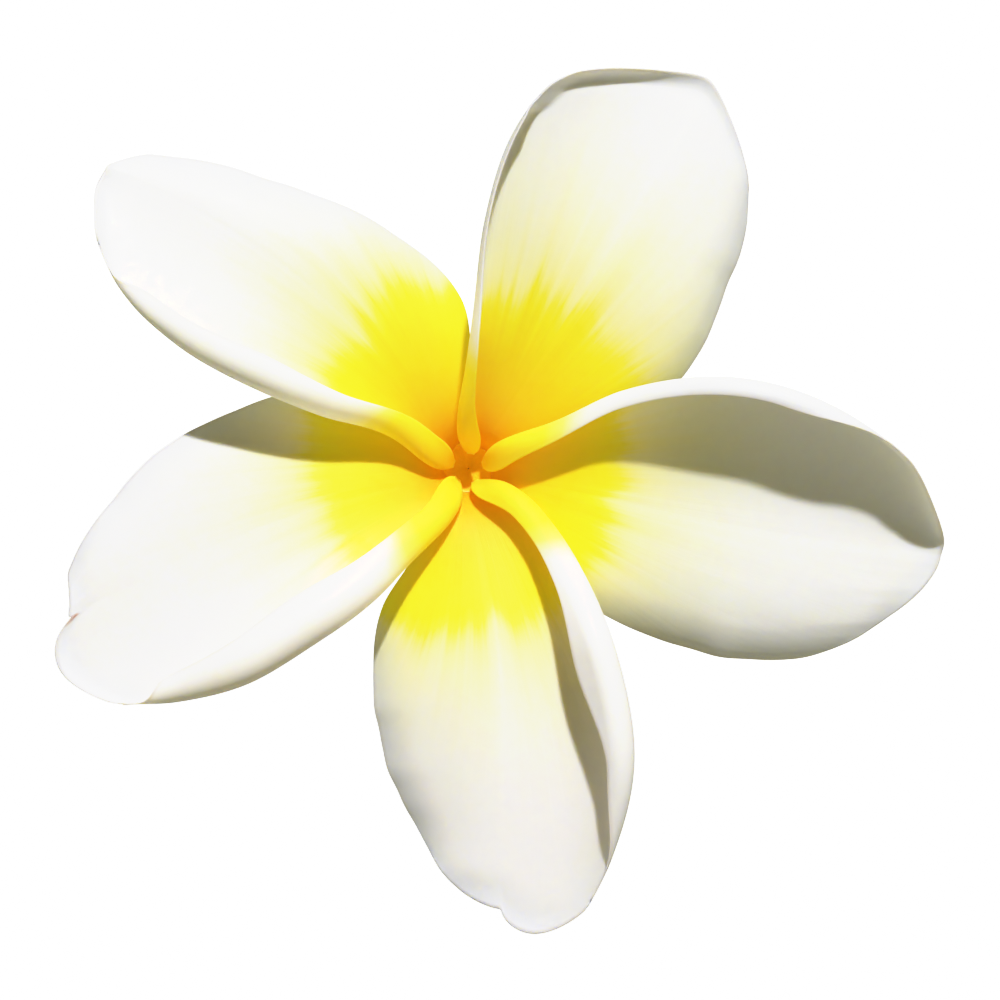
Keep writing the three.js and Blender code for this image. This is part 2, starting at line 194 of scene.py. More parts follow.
def mesh_object(name: str, points: np.ndarray, faces: list[tuple[int, ...]] | np.ndarray) -> bpy.types.Object:
    """Make a smooth-shaded object with its place in its mesh.

    Args:
        name: The piece's name.
        points: Corner places in metres, in the part's frame.
        faces: Corner indices of each face.

    Returns:
        The new object, linked to the scene.
    """
    mesh = bpy.data.meshes.new(name)
    if isinstance(faces, np.ndarray):
        faces = faces.tolist()
    mesh.from_pydata(points.tolist(), [], faces)
    mesh.update()
    mesh.shade_smooth()
    made = bpy.data.objects.new(name, mesh)
    bpy.context.scene.collection.objects.link(made)
    return made


def set_attribute(piece: bpy.types.Object, name: str, values: np.ndarray) -> None:
    """Store one number for each corner point of a piece.

    Args:
        piece: The piece that carries the attribute.
        name: The attribute's name.
        values: One value for each point.
    """
    attribute = piece.data.attributes.new(name, "FLOAT", "POINT")
    attribute.data.foreach_set("value", values.astype(np.float32).ravel())


def settle(piece: bpy.types.Object, node: Node) -> None:
    """Make a finished piece move with the flower and stand for its CAD node.

    Args:
        piece: The finished piece.
        node: The CAD node that it replaces.
    """
    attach(piece, BODY)
    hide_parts(node.value)
    LOG.info("%s: %d faces", piece.name, len(piece.data.polygons))


@dataclass(frozen=True)
class LyingPose:
    """How the flower's own frame lies on the surface.

    The side at heading lies lowest, lean is the angle from upright to the flower's axis.
    """

    heading: float = -121.4
    lean: float = 39.8
    shift: tuple[float, float, float] = (0.09, 1.25, 16.81)
    skin: float = 0.02

    def turn(self) -> Matrix:
        """Return the turn from the flower's frame to the part's frame."""
        spin = Matrix.Rotation(math.radians(-90.0 - self.heading), 4, "Z")
        return Matrix.Rotation(math.radians(self.lean), 4, "X") @ spin

    def rigid(self) -> Matrix:
        """Return the flower's frame as a place and a turn in metres."""
        return Matrix.Translation(Vector(self.shift) * MM) @ self.turn()

    def place(self, points: np.ndarray) -> np.ndarray:
        """Move points from the flower's frame in millimetres to the part's frame in metres.

        Args:
            points: An array of shape (..., 3).

        Returns:
            The moved points, in the same shape.
        """
        turn = np.array(self.turn().to_3x3())
        return (points @ turn.T + np.array(self.shift)) * MM

    def cut(self, points: np.ndarray) -> np.ndarray:
        """Slide what would sink into the surface up along the flower's axis, as a slanting cut leaves it.

        Args:
            points: Points of the flower's frame in millimetres.

        Returns:
            The points with none below the surface.
        """
        turn = np.array(self.turn().to_3x3())
        least = -(self.shift[2] + points[..., 0] * turn[2, 0] + points[..., 1] * turn[2, 1]) / turn[2, 2]
        kept = points.copy()
        kept[..., 2] = np.maximum(points[..., 2], least)
        return kept

    def rest(self, points: np.ndarray, lift: np.ndarray | float) -> np.ndarray:
        """Bend what would sink into the surface so that it lies on it.

        Args:
            points: Points of the part's frame in metres.
            lift: How far above the surface each point stays, in millimetres.

        Returns:
            The points with none below its lift.
        """
        least = np.asarray(lift) * MM
        rested = points.copy()
        rested[..., 2] = np.maximum(points[..., 2], least)
        return rested


# ---- Petals ------------------------------------------------------------------------------------------


@dataclass(frozen=True)
class Throat:
    """The mouth of the tube, where the five petals grow together."""

    radius: float = 1.7
    step: float = 0.35
    depth: float = 3.4
    turn: float = 0.9
    reach: float = 3.2
    slope: float = 34.0
    half_width: float = 1.5
    flap: float = 2.3
    roll_radius: float = 1.05
    roll_turn: float = 115.0
    roll_reach: float = 9.0
    knob: float = 1.8
    inset: float = 0.8


@dataclass(frozen=True)
class PetalShape:
    """One petal's form.

    trailing and leading are the half widths either side of the midrib at STATIONS. flap is how far the
    rolled leading margin reaches back over the petal at the same stations, and flap_ends the share of the
    length where it starts to taper out. roll_radius and roll_turn shape the roll, tip_radius is what it
    narrows to at the tip, opens how far it opens there and stand how far it stands up.

    bow is how far the midrib bows aside, tilt how far the section leans with its leading side up, and
    tip_slope how the midrib ends. cup is how far the leading side rises, by cup_power, and droop how far the trailing side sinks, by
    droop_power. Both reach full depth at growth from the mouth and lose cup_fade by the tip. fall is how far
    the trailing margin's last stretch turns down, and curl how far the tip's rim turns up over curl_width,
    from curl_from across.

    trailing_end and leading_end are where each side's shoulder starts, as a share of the length, and how
    square it is. lobes are how far each side swells past that, by lobe_power, and notch is the nick between
    them. colour_reach scales how far the yellow runs out of the throat, blush is how pink the petal is, and
    seed picks its waves.
    """

    heading: float
    length: float
    bow: float
    trailing: tuple[float, ...]
    leading: tuple[float, ...]
    flap: tuple[float, ...]
    roll_radius: float
    roll_turn: float
    cup: float
    cup_fade: float
    droop: float
    tilt: float
    tip_slope: float
    trailing_end: tuple[float, float]
    leading_end: tuple[float, float]
    lobes: tuple[float, float]
    notch: float
    seed: int
    growth: float = 9.0
    curl: float = 0.0
    fall: float = 0.0
    colour_reach: float = 1.0
    throat: Throat = field(default_factory=Throat)
    cup_power: float = 2.4
    tip_radius: float = 0.6
    droop_power: float = 2.0
    curl_width: float = 1.8
    curl_from: float = -1.0
    lobe_power: float = 1.5
    opens: float = 0.0
    flap_ends: float = 0.9
    blush: float = 0.2
    stand: float = 0.0

    def column_length(self, across: np.ndarray) -> np.ndarray:
        """Say how far the blade reaches along a column.

        Args:
            across: Place across, as in section.

        Returns:
            The column's length from the mouth.
        """
        leads = across > 0
        shoulder = np.where(leads, self.leading_end[0], self.trailing_end[0])
        cap = np.where(leads, self.leading_end[1], self.trailing_end[1])
        lobe = np.where(leads, self.lobes[1], self.lobes[0])
        a = np.where(leads, self.plan_share(across), np.clip(-across, 0.0, 1.0))
        end = shoulder + (1.0 - shoulder) * np.sqrt(np.clip(1.0 - a**cap, 0.0, 1.0))
        notch = self.notch * np.exp(-((a / 0.07) ** 1.3))
        swell = lobe * np.maximum(np.sin(math.pi * a), 0.0) ** self.lobe_power
        return self.length * end + swell - notch

    def plan_share(self, across: np.ndarray) -> np.ndarray:
        """Say what share of the half width a leading column stands aside by the tip, as seen from above."""
        places = np.linspace(0.0, 2.0, 81)
        aside, _, _ = self.section(np.full(81, self.leading_end[0] * self.length), places)
        reached = np.maximum.accumulate(aside)
        return np.interp(across, places, reached / reached[-1])

    def tip_curl(self, along: np.ndarray, across: np.ndarray) -> np.ndarray:
        """Say how far the tip's rim turns up."""
        to_tip = self.column_length(across) - along
        side = np.clip((across - self.curl_from) / (1.0 - self.curl_from), 0.0, 1.0)
        side = side * (1.0 - smooth(across - 1.0))
        return self.curl * side * np.clip(1.0 - to_tip / self.curl_width, 0.0, 1.0) ** 2

    def midrib_height(self, along: np.ndarray) -> np.ndarray:
        """Say how high the midrib runs: out of the throat, then level towards the tip."""
        base = math.tan(math.radians(self.throat.slope))
        tip = math.tan(math.radians(self.tip_slope))
        left = 1.0 - along / self.length
        rise = tip * along + (base - tip) * self.length / 3.0 * (1.0 - left**3)
        return rise - self.throat.depth * np.exp(-along / self.throat.turn)

    def section(self, along: np.ndarray, across: np.ndarray) -> tuple[np.ndarray, np.ndarray, np.ndarray]:
        """Shape the cross section.

        Args:
            along: Distance from the mouth.
            across: From -1 at the trailing margin to 1 where the leading margin starts to roll, and on to 2
                at the flap's free edge.

        Returns:
            How far each point stands aside of the midrib, how far above it, and how long its column of the
            rolled margin is from the start of the roll to the free edge.
        """
        share = along / self.length
        trailing = profile(self.throat.half_width, self.trailing, share)
        half = profile(self.throat.half_width, self.leading, share)
        knob = np.sqrt(1.0 - (1.0 - np.clip(along / self.throat.knob, 0.05, 1.0)) ** 2)
        half = half - self.throat.inset * (1.0 - knob)
        grown = smooth(along / self.growth)
        kept = 1.0 - self.cup_fade * smooth((share - FADES_FROM) / (1.0 - FADES_FROM))
        slope = math.tan(math.radians(self.tilt))
        cup = self.cup * (CUP_AT_MOUTH + (1.0 - CUP_AT_MOUTH) * grown) * kept
        droop = self.droop * grown * kept
        ends = smooth((share / self.leading_end[0] - FADES_FROM) / (1.0 - FADES_FROM))
        own = smooth(along / self.throat.roll_reach)
        turn = np.radians(self.throat.roll_turn + own * (self.roll_turn - self.throat.roll_turn))
        radius = self.throat.roll_radius + own * (self.roll_radius - self.throat.roll_radius)
        radius = radius + ends * (self.tip_radius - self.roll_radius)
        narrows = 1.0 - smooth((share / self.leading_end[0] - self.flap_ends) / (1.0 - self.flap_ends))
        reach = np.maximum(profile(self.throat.flap, self.flap, share), LEAST_FLAP) * knob
        over = np.arccos(np.clip(1.0 - reach / radius, np.cos(turn), 1.0))
        rest = np.maximum(reach - radius * (1.0 - np.cos(over)), 0.0) / np.maximum(np.sin(over), 0.5)
        wanted = 0.5 * math.pi + over * narrows - ends * math.radians(self.opens)
        rest = rest * narrows * (over > 0.9 * turn) + ends * self.stand
        first = np.arctan(slope + cup * self.cup_power / half)
        for _ in range(3):
            last = np.maximum(wanted, first + LEAST_ROLL)
            out = radius * (np.sin(np.minimum(last, 0.5 * math.pi)) - np.sin(first))
            out = out + rest * np.maximum(np.cos(last), 0.0)
            start = np.maximum(half - out, 0.3 * half)
            first = np.arctan(slope + cup * self.cup_power / half * (start / half) ** (self.cup_power - 1.0))
        last = np.maximum(wanted, first + LEAST_ROLL)
        inside = np.clip(np.abs(across), 0.0, 1.0)
        lead = inside * start
        aside = np.where(across < 0, -inside * trailing, lead)
        droops = -inside * trailing * slope - droop * inside**self.droop_power
        droops = droops - self.fall * grown * inside**FALL_POWER
        up = np.where(across < 0, droops, lead * slope + cup * (lead / half) ** self.cup_power)
        arc = radius * (last - first)
        run = np.clip(across - 1.0, 0.0, 1.0) * (arc + rest)
        angle = np.minimum(first + run / radius, last)
        past = np.maximum(run - arc, 0.0)
        rolled = across > 1.0
        aside = aside + np.where(rolled, radius * (np.sin(angle) - np.sin(first)) + past * np.cos(last), 0.0)
        up = up + np.where(rolled, radius * (np.cos(first) - np.cos(angle)) + past * np.sin(last), 0.0)
        return aside, up, arc + rest

    def point(self, along: np.ndarray, across: np.ndarray) -> np.ndarray:
        """Find points of the petal's middle surface.

        Args:
            along: Distance from the mouth.
            across: Place across, as in section.

        Returns:
            Points of the flower's frame, in an array with one more axis.
        """
        aside, up, _ = self.section(along, across)
        share = along / self.length
        heading = math.radians(self.heading)
        ahead = np.array([math.cos(heading), math.sin(heading)])
        left = np.array([-ahead[1], ahead[0]])
        way = ahead + (4.0 * self.bow * (1.0 - 2.0 * share) / self.length)[..., None] * left
        way = way / np.linalg.norm(way, axis=-1, keepdims=True)
        aside_way = np.stack([-way[..., 1], way[..., 0]], -1)
        flat = (self.throat.radius + along)[..., None] * ahead
        flat = flat + (4.0 * self.bow * share * (1.0 - share))[..., None] * left
        flat = flat + aside[..., None] * aside_way
        ring = self.throat.radius + along
        ring = ring - self.throat.step * np.clip(across, -1.0, 1.0) * np.exp(-along / 2.0)
        angle = heading + aside / (self.throat.radius + 0.8 * along)
        bent = np.stack([ring * np.cos(angle), ring * np.sin(angle)], -1)
        near = np.exp(-((along / self.throat.reach) ** 2))[..., None]
        flat = flat * (1.0 - near) + bent * near
        height = self.midrib_height(along) + up + self.tip_curl(along, across)
        return np.concatenate([flat, height[..., None]], -1)


PETALS: dict[str, PetalShape] = {
    "petal_upper_left": PetalShape(
        heading=140.3, length=38.5, bow=-3.2,
        trailing=(4.6, 8.7, 8.2, 6.0, 3.7, 1.6), leading=(2.8, 6.9, 9.7, 10.5, 8.9, 4.5),
        flap=(2.2, 2.4, 2.8, 2.0, 1.4, 0.6), roll_radius=1.6, roll_turn=120, tip_radius=0.6,
        cup=2.5, cup_fade=0.3, droop=2.0, tilt=3.5, tip_slope=-6,
        trailing_end=(0.925, 2.0), leading_end=(0.94, 2.3), lobes=(-0.1, 0.3), notch=0.0, seed=11,
        growth=13.0, curl=0.6, colour_reach=1.16, flap_ends=0.8,
    ),
    "petal_upper_right": PetalShape(
        heading=58.3, length=37.75, bow=-0.5,
        trailing=(4.6, 9.6, 11.4, 10.2, 8.8, 6.8), leading=(3.8, 6.6, 10.1, 11.8, 10.7, 7.4),
        flap=(1.2, 0.6, 0.3, 0.2, 0.2, 0.1), roll_radius=2.3, roll_turn=100, tip_radius=1.5,
        cup=3.2, cup_fade=0.2, droop=1.6, tilt=3, tip_slope=-10,
        trailing_end=(0.70, 1.6), leading_end=(0.765, 1.9), lobes=(-0.3, -0.3), notch=0.0, seed=12,
        curl=1.3, fall=1.2, colour_reach=1.22, droop_power=3.0, opens=25, stand=1.9,
    ),
    "petal_right": PetalShape(
        heading=-10.7, length=39.6, bow=-0.6,
        trailing=(4.8, 8.8, 11.0, 11.2, 9.2, 7.0), leading=(4.5, 9.1, 11.7, 11.4, 8.4, 3.6),
        flap=(1.8, 1.4, 1.4, 1.4, 1.2, 0.5), roll_radius=1.0, roll_turn=100, tip_radius=1.0,
        cup=5.8, cup_fade=0.1, droop=2.2, tilt=3.0, tip_slope=-6,
        trailing_end=(0.71, 1.7), leading_end=(0.88, 2.4), lobes=(0.1, 0.3), notch=0.0, seed=13,
        growth=20.0, curl=0.5, fall=0.6, colour_reach=0.97, droop_power=3.5, curl_from=-0.7,
        opens=8.0, stand=0.8, flap_ends=0.68,
    ),
    "petal_lower": PetalShape(
        heading=-85.7, length=36.6, bow=1.5,
        trailing=(4.4, 9.5, 11.1, 10.4, 7.5, 6.2), leading=(5.5, 8.1, 10.0, 10.6, 9.0, 6.6),
        flap=(2.1, 2.5, 3.5, 2.1, 1.6, 1.0), roll_radius=1.3, roll_turn=125, tip_radius=0.6,
        cup=4.5, cup_fade=0.4, droop=3.4, tilt=4, tip_slope=-6,
        trailing_end=(0.76, 2.7), leading_end=(0.95, 3.2), lobes=(-0.5, 1.6), notch=0.2, seed=14,
        growth=15.0, curl=0.5, fall=0.6, colour_reach=1.0, cup_power=4.0, lobe_power=0.6,
        flap_ends=0.7, blush=1.0,
    ),
    "petal_left": PetalShape(
        heading=201, length=35.4, bow=-1.5,
        trailing=(4.6, 9.7, 10.3, 9.2, 5.8, 2.2), leading=(5.1, 8.7, 10.8, 11.7, 10.4, 8.2),
        flap=(2.6, 3.6, 4.2, 3.5, 2.1, 1.1), roll_radius=1.9, roll_turn=130, tip_radius=0.6,
        cup=2.2, cup_fade=0.4, droop=1.4, tilt=2.5, tip_slope=-6,
        trailing_end=(0.93, 1.6), leading_end=(0.965, 2.6), lobes=(-0.9, 2.5), notch=0.7, seed=15,
        curl=0.6, colour_reach=0.91, droop_power=3.0, lobe_power=0.6, flap_ends=0.84, blush=0.75,
    ),
}


@dataclass
class PetalBlade:
    """A petal as a thin closed blade, thick along the middle and fine at its margins."""

    name: str
    shape: PetalShape
    pose: LyingPose
    blade_columns: int = 104
    flap_columns: int = 26
    rows: int = 170
    crowding: float = 0.9
    thickness: float = 0.46
    margin_thickness: float = 0.16
    margin_taper: float = 3.5
    ripple: float = 0.12
    ripple_reach: float = 2.5
    wrinkle: float = 0.02
    groove: float = 0.03
    groove_width: float = 0.035

    def columns(self) -> np.ndarray:
        """Return column places from the trailing margin to the flap's free edge, closer at the margins."""
        even = np.linspace(-1.0, 1.0, self.blade_columns + 1)
        blade = self.crowding * np.sin(even * math.pi / 2.0) + (1.0 - self.crowding) * even
        flap = 1.0 + np.linspace(0.0, 1.0, self.flap_columns + 1)[1:]
        return np.concatenate([blade, flap])

    def margin_distance(self, along: np.ndarray, across: np.ndarray) -> np.ndarray:
        """Say roughly how far points are from the nearest margin.

        Args:
            along: Distance from the mouth.
            across: Place across, as in PetalShape.section.

        Returns:
            The distance in millimetres.
        """
        share = along / self.shape.length
        trailing = profile(self.shape.throat.half_width, self.shape.trailing, share)
        leading = profile(self.shape.throat.half_width, self.shape.leading, share)
        _, _, rolled = self.shape.section(along, across)
        to_trailing = (1.0 + np.minimum(across, 1.0)) * trailing
        to_free_edge = (2.0 - np.maximum(across, 1.0)) * rolled
        to_free_edge = to_free_edge + np.maximum(1.0 - across, 0.0) * leading
        to_tip = self.shape.column_length(across) - along
        return np.minimum(np.minimum(to_trailing, to_free_edge), np.maximum(to_tip, 0.0))

    def build(self) -> bpy.types.Object:
        """Build the blade's upper face, lower face and rounded rim.

        Returns:
            The piece, with its attributes.
        """
        places = self.columns()
        share = np.linspace(0.0, 1.0, self.rows + 1) ** 1.12
        across, shares = np.meshgrid(places, share, indexing="ij")
        along = shares * self.shape.column_length(across)
        margin = self.margin_distance(along, across)
        middle = self.surface(along, across)
        normal = self.normals(self.surface, along, across)
        swells = smooth(margin / self.margin_taper)
        full = self.margin_thickness + (self.thickness - self.margin_thickness) * swells
        half = 0.5 * full[..., None]
        upper = middle + normal * half
        lower = middle - normal * half
        rim = self.rim_indices(len(places), self.rows + 1)
        edge = self.rim_ring(middle, rim)
        points = np.concatenate([upper.reshape(-1, 3), lower.reshape(-1, 3), edge])
        lift = np.concatenate([full.ravel(), np.zeros(full.size), 0.5 * full.ravel()[rim]])
        placed = self.pose.rest(self.pose.place(points), lift)
        piece = mesh_object(self.name, placed, self.faces(len(places), self.rows + 1, rim))
        self.store(piece, along, across, margin, rim)
        return piece

    def surface(self, along: np.ndarray, across: np.ndarray) -> np.ndarray:
        """Return the middle surface with its waves and wrinkles, as PetalShape.point does without."""
        margin = self.margin_distance(along, across)
        lift = self.relief(along, across, margin)[..., None]
        return self.shape.point(along, across) + self.normals(self.shape.point, along, across) * lift

    def normals(self, surface: Surface, along: np.ndarray, across: np.ndarray) -> np.ndarray:
        """Find the upper face's unit normals.

        Args:
            surface: Gives the points of a surface.
            along: Distance from the mouth.
            across: Place across.

        Returns:
            One unit vector for each point.
        """
        step = 0.01
        ahead = surface(along + step, across) - surface(np.maximum(along - step, 0.0), across)
        least, most = -1.0, 2.0
        trailing_side = surface(along, np.maximum(across - step, least))
        beside = surface(along, np.minimum(across + step, most)) - trailing_side
        normal = np.cross(ahead, beside)
        return normal / np.maximum(np.linalg.norm(normal, axis=-1, keepdims=True), 1e-12)

    def relief(self, along: np.ndarray, across: np.ndarray, margin: np.ndarray) -> np.ndarray:
        """Raise the surface into soft waves along the margins and faint lengthwise wrinkles.

        Args:
            along: Distance from the mouth.
            across: Place across, as in PetalShape.section.
            margin: Distance from the nearest margin.

        Returns:
            How far the surface moves along its normal.
        """
        seed = self.shape.seed
        share = along / self.shape.length
        outward = smooth((share - 0.25) / 0.4)
        near_margin = np.exp(-margin / self.ripple_reach)
        wave = wander(seed, share + 0.04 * across, 4.0)
        side = smooth(0.5 - 1.2 * across)
        ripples = self.ripple * wave * near_margin * outward * side
        place = np.minimum(across, 1.0) + 0.15 * share
        fold = wander(seed + 20, place, 3.2, 4) * wander(seed + 40, share, 1.3, 2)
        wrinkles = self.wrinkle * fold * outward * (0.35 + 0.65 * side)
        groove = -self.groove * np.exp(-((across / self.groove_width) ** 2))
        groove = groove * smooth(share / 0.3) * (1.0 - smooth((share - 0.7) / 0.3))
        return ripples + wrinkles + groove

    def rim_indices(self, columns: int, rows: int) -> np.ndarray:
        """Return the grid indices round the blade's edge, in order."""
        grid = np.arange(columns * rows).reshape(columns, rows)
        mouth = grid[:, 0]
        free_edge = grid[-1, 1:]
        tip = grid[::-1, -1][1:]
        trailing = grid[0, ::-1][1:-1]
        return np.concatenate([mouth, free_edge, tip, trailing])

    def rim_ring(self, middle: np.ndarray, rim: np.ndarray) -> np.ndarray:
        """Push the edge of the middle surface out by half the margin's thickness.

        Args:
            middle: The middle surface.
            rim: Grid indices round its edge.

        Returns:
            The points of the ring that rounds the rim.
        """
        flat = middle.reshape(-1, 3)
        columns, rows = middle.shape[:2]
        inner = np.clip(rim // rows, 1, columns - 2) * rows + np.clip(rim % rows, 1, rows - 2)
        outward = flat[rim] - flat[inner]
        outward = outward / np.maximum(np.linalg.norm(outward, axis=-1, keepdims=True), 1e-9)
        return flat[rim] + outward * 0.5 * self.margin_thickness

    def faces(self, columns: int, rows: int, rim: np.ndarray) -> np.ndarray:
        """Join the layers' points into faces that point outwards.

        Args:
            columns: How many columns a layer has.
            rows: How many points a column has.
            rim: Grid indices round the edge.

        Returns:
            Corner indices of the quads.
        """
        layer = columns * rows
        i, j = np.meshgrid(np.arange(columns - 1), np.arange(rows - 1), indexing="ij")
        near = (i * rows + j).ravel()
        upper = np.stack([near, near + 1, near + rows + 1, near + rows], -1)
        lower = layer + upper[:, ::-1]
        count = len(rim)
        ring = 2 * layer + np.arange(count)
        following = np.roll(np.arange(count), -1)
        over = np.stack([rim, rim[following], ring[following], ring], -1)
        under = np.stack([ring, ring[following], layer + rim[following], layer + rim], -1)
        return np.concatenate([upper, lower, over, under])

    def store(
        self,
        piece: bpy.types.Object,
        along: np.ndarray,
        across: np.ndarray,
        margin: np.ndarray,
        rim: np.ndarray,
    ) -> None:
        """Store what the petal's finish follows.

        Args:
            piece: The blade.
            along: Distance from the mouth over the grid.
            across: Place across over the grid.
            margin: Distance from the margin over the grid.
            rim: Grid indices of the rounded rim.
        """
        aside, _, rolled = self.shape.section(along, across)
        spread = np.where(across > 1.0, aside + (across - 1.0) * rolled, aside)
        warm = along / self.shape.colour_reach
        beside_notch = smooth((0.9 - margin) / 0.6) * smooth((0.05 - np.abs(across)) / 0.04)
        scar = (self.shape.notch > 0.5) * beside_notch
        scar = scar * (along > 0.5 * self.shape.length)
        neck = neck_share(self.shape.point(along, across)[..., 2])
        grids = {"along": along, "aside": spread, "across": across, "margin": margin, "scar": scar}
        layers = {name: (grid, grid) for name, grid in grids.items()}
        layers["warm"] = (warm, warm + neck * (NECK_WARMTH - warm))
        for name, value in (("petal", float(self.shape.seed)), ("blush", self.shape.blush)):
            layers[name] = (np.full(along.shape, value),) * 2
        for name, (upper, lower) in layers.items():
            set_attribute(piece, name, np.concatenate([upper.ravel(), lower.ravel(), lower.ravel()[rim]]))
        outer = (np.zeros(along.size), np.ones(along.size), np.full(len(rim), 0.5))
        set_attribute(piece, "outer", np.concatenate(outer))


@dataclass
class Tube:
    """The slender hollow tube below the petals, narrowed by its throat. Its outlines are (height, radius)."""

    pose: LyingPose
    outer: tuple[tuple[float, float], ...] = (
        (-16.0, 2.10), (-14.0, 2.12), (-12.0, 2.05), (-9.8, 1.88), (-7.5, 1.80), (-5.2, 1.84), (-3.6, 1.95),
        (-2.4, 2.10), (-1.5, 2.35),
    )
    inner: tuple[tuple[float, float], ...] = (
        (-1.5, 2.00), (-1.9, 1.60), (-2.3, 1.15), (-2.7, 0.70), (-3.0, 0.32), (-3.3, 0.10), (-4.4, 0.12),
        (-6.0, 0.80), (-7.5, 1.25), (-10.0, 1.35), (-12.0, 1.50), (-16.0, 1.55),
    )
    sides: int = 96
    steps: int = 6
    flute: float = 0.05
    rib: float = 0.012
    twist: float = 0.05

    def build(self) -> bpy.types.Object:
        """Build the tube's wall as one closed ring of faces.

        Returns:
            The piece.
        """
        outside = smooth_line(self.outer, self.steps)
        inside = smooth_line(self.inner, self.steps)
        loop = np.concatenate([outside, inside])
        turns = np.linspace(0.0, 2.0 * math.pi, self.sides, endpoint=False)
        height, turn = np.meshgrid(loop[:, 0], turns, indexing="ij")
        radius = np.broadcast_to(loop[:, 1:2], turn.shape).copy()
        twist = turn + self.twist * (height + 9.0)
        flute = np.cos(5.0 * twist) * self.flute + self.rib * np.sin(17.0 * twist + 1.0)
        radius = radius + flute * smooth((height + 14.0) / 6.0) * smooth(radius - 0.3)
        points = np.stack([radius * np.cos(turn), radius * np.sin(turn), height], -1)
        count, sides = turn.shape
        i, j = np.meshgrid(np.arange(count), np.arange(sides), indexing="ij")
        after = (i + 1) % count
        beside = (j + 1) % sides
        quads = np.stack([i * sides + j, i * sides + beside, after * sides + beside, after * sides + j], -1)
        piece = mesh_object("corolla_tube", self.pose.place(points.reshape(-1, 3)), quads.reshape(-1, 4))
        size = count * sides
        lining = np.repeat(np.arange(count) >= len(outside), sides)
        flat_height = height.ravel()
        throat_warmth = 2.0 * smooth((flat_height + 9.0) / 8.0)
        numbers = {
            "along": 0.0, "warm": np.where(lining, throat_warmth, NECK_WARMTH * neck_share(flat_height)),
            "blush": 0.0, "scar": 0.0, "aside": (turn * 2.0).ravel(), "across": 0.5, "margin": 5.0,
            "outer": np.where(lining, 0.0, 1.0), "petal": 10.0,
        }
        for name, values in numbers.items():
            set_attribute(piece, name, np.broadcast_to(values, size))
        return piece


# ---- Node trees --------------------------------------------------------------------------------------


class Tree:
    """A node tree with short ways to add and join nodes."""

    def __init__(self, tree: bpy.types.NodeTree) -> None:
        """Take over a node tree."""
        self.tree = tree

    def add(
        self, kind: str, inputs: dict[str | int, object] | None = None, **settings: object
    ) -> bpy.types.Node:
        """Add a node.

        Args:
            kind: The node's type.
            inputs: What its inputs are fed, by their names or places.
            **settings: Properties set on it.

        Returns:
            The new node.
        """
        node = self.tree.nodes.new(kind)
        for name, value in settings.items():
            setattr(node, name, value)
        self.fill(node, inputs or {})
        return node

    def fill(self, node: bpy.types.Node, inputs: dict[str | int, object]) -> None:
        """Feed a node's inputs, by their names or places."""
        for name, value in inputs.items():
            self.feed(value, node.inputs[name])

    def join(self, source: Socket, target: Socket) -> None:
        """Link an output to an input."""
        self.tree.links.new(source, target)

    def feed(self, value: object, target: Socket) -> None:
        """Link a socket to an input, or set the input where the value is a number or a tuple."""
        if isinstance(value, Socket):
            self.join(value, target)
        else:
            target.default_value = value

    def math(
        self, operation: str, first: object, second: object = 0.0, third: object = 0.0
    ) -> Socket:
        """Do a sum on numbers or sockets.

        Args:
            operation: The Math node's operation.
            first: The first number or socket.
            second: The second number or socket.
            third: The third number or socket.

        Returns:
            The result's socket.
        """
        inputs = dict(enumerate((first, second, third)))
        return self.add("ShaderNodeMath", inputs, operation=operation).outputs[0]

    def vector(self, x: object, y: object, z: object) -> Socket:
        """Put three numbers together."""
        return self.add("ShaderNodeCombineXYZ", {"X": x, "Y": y, "Z": z}).outputs[0]


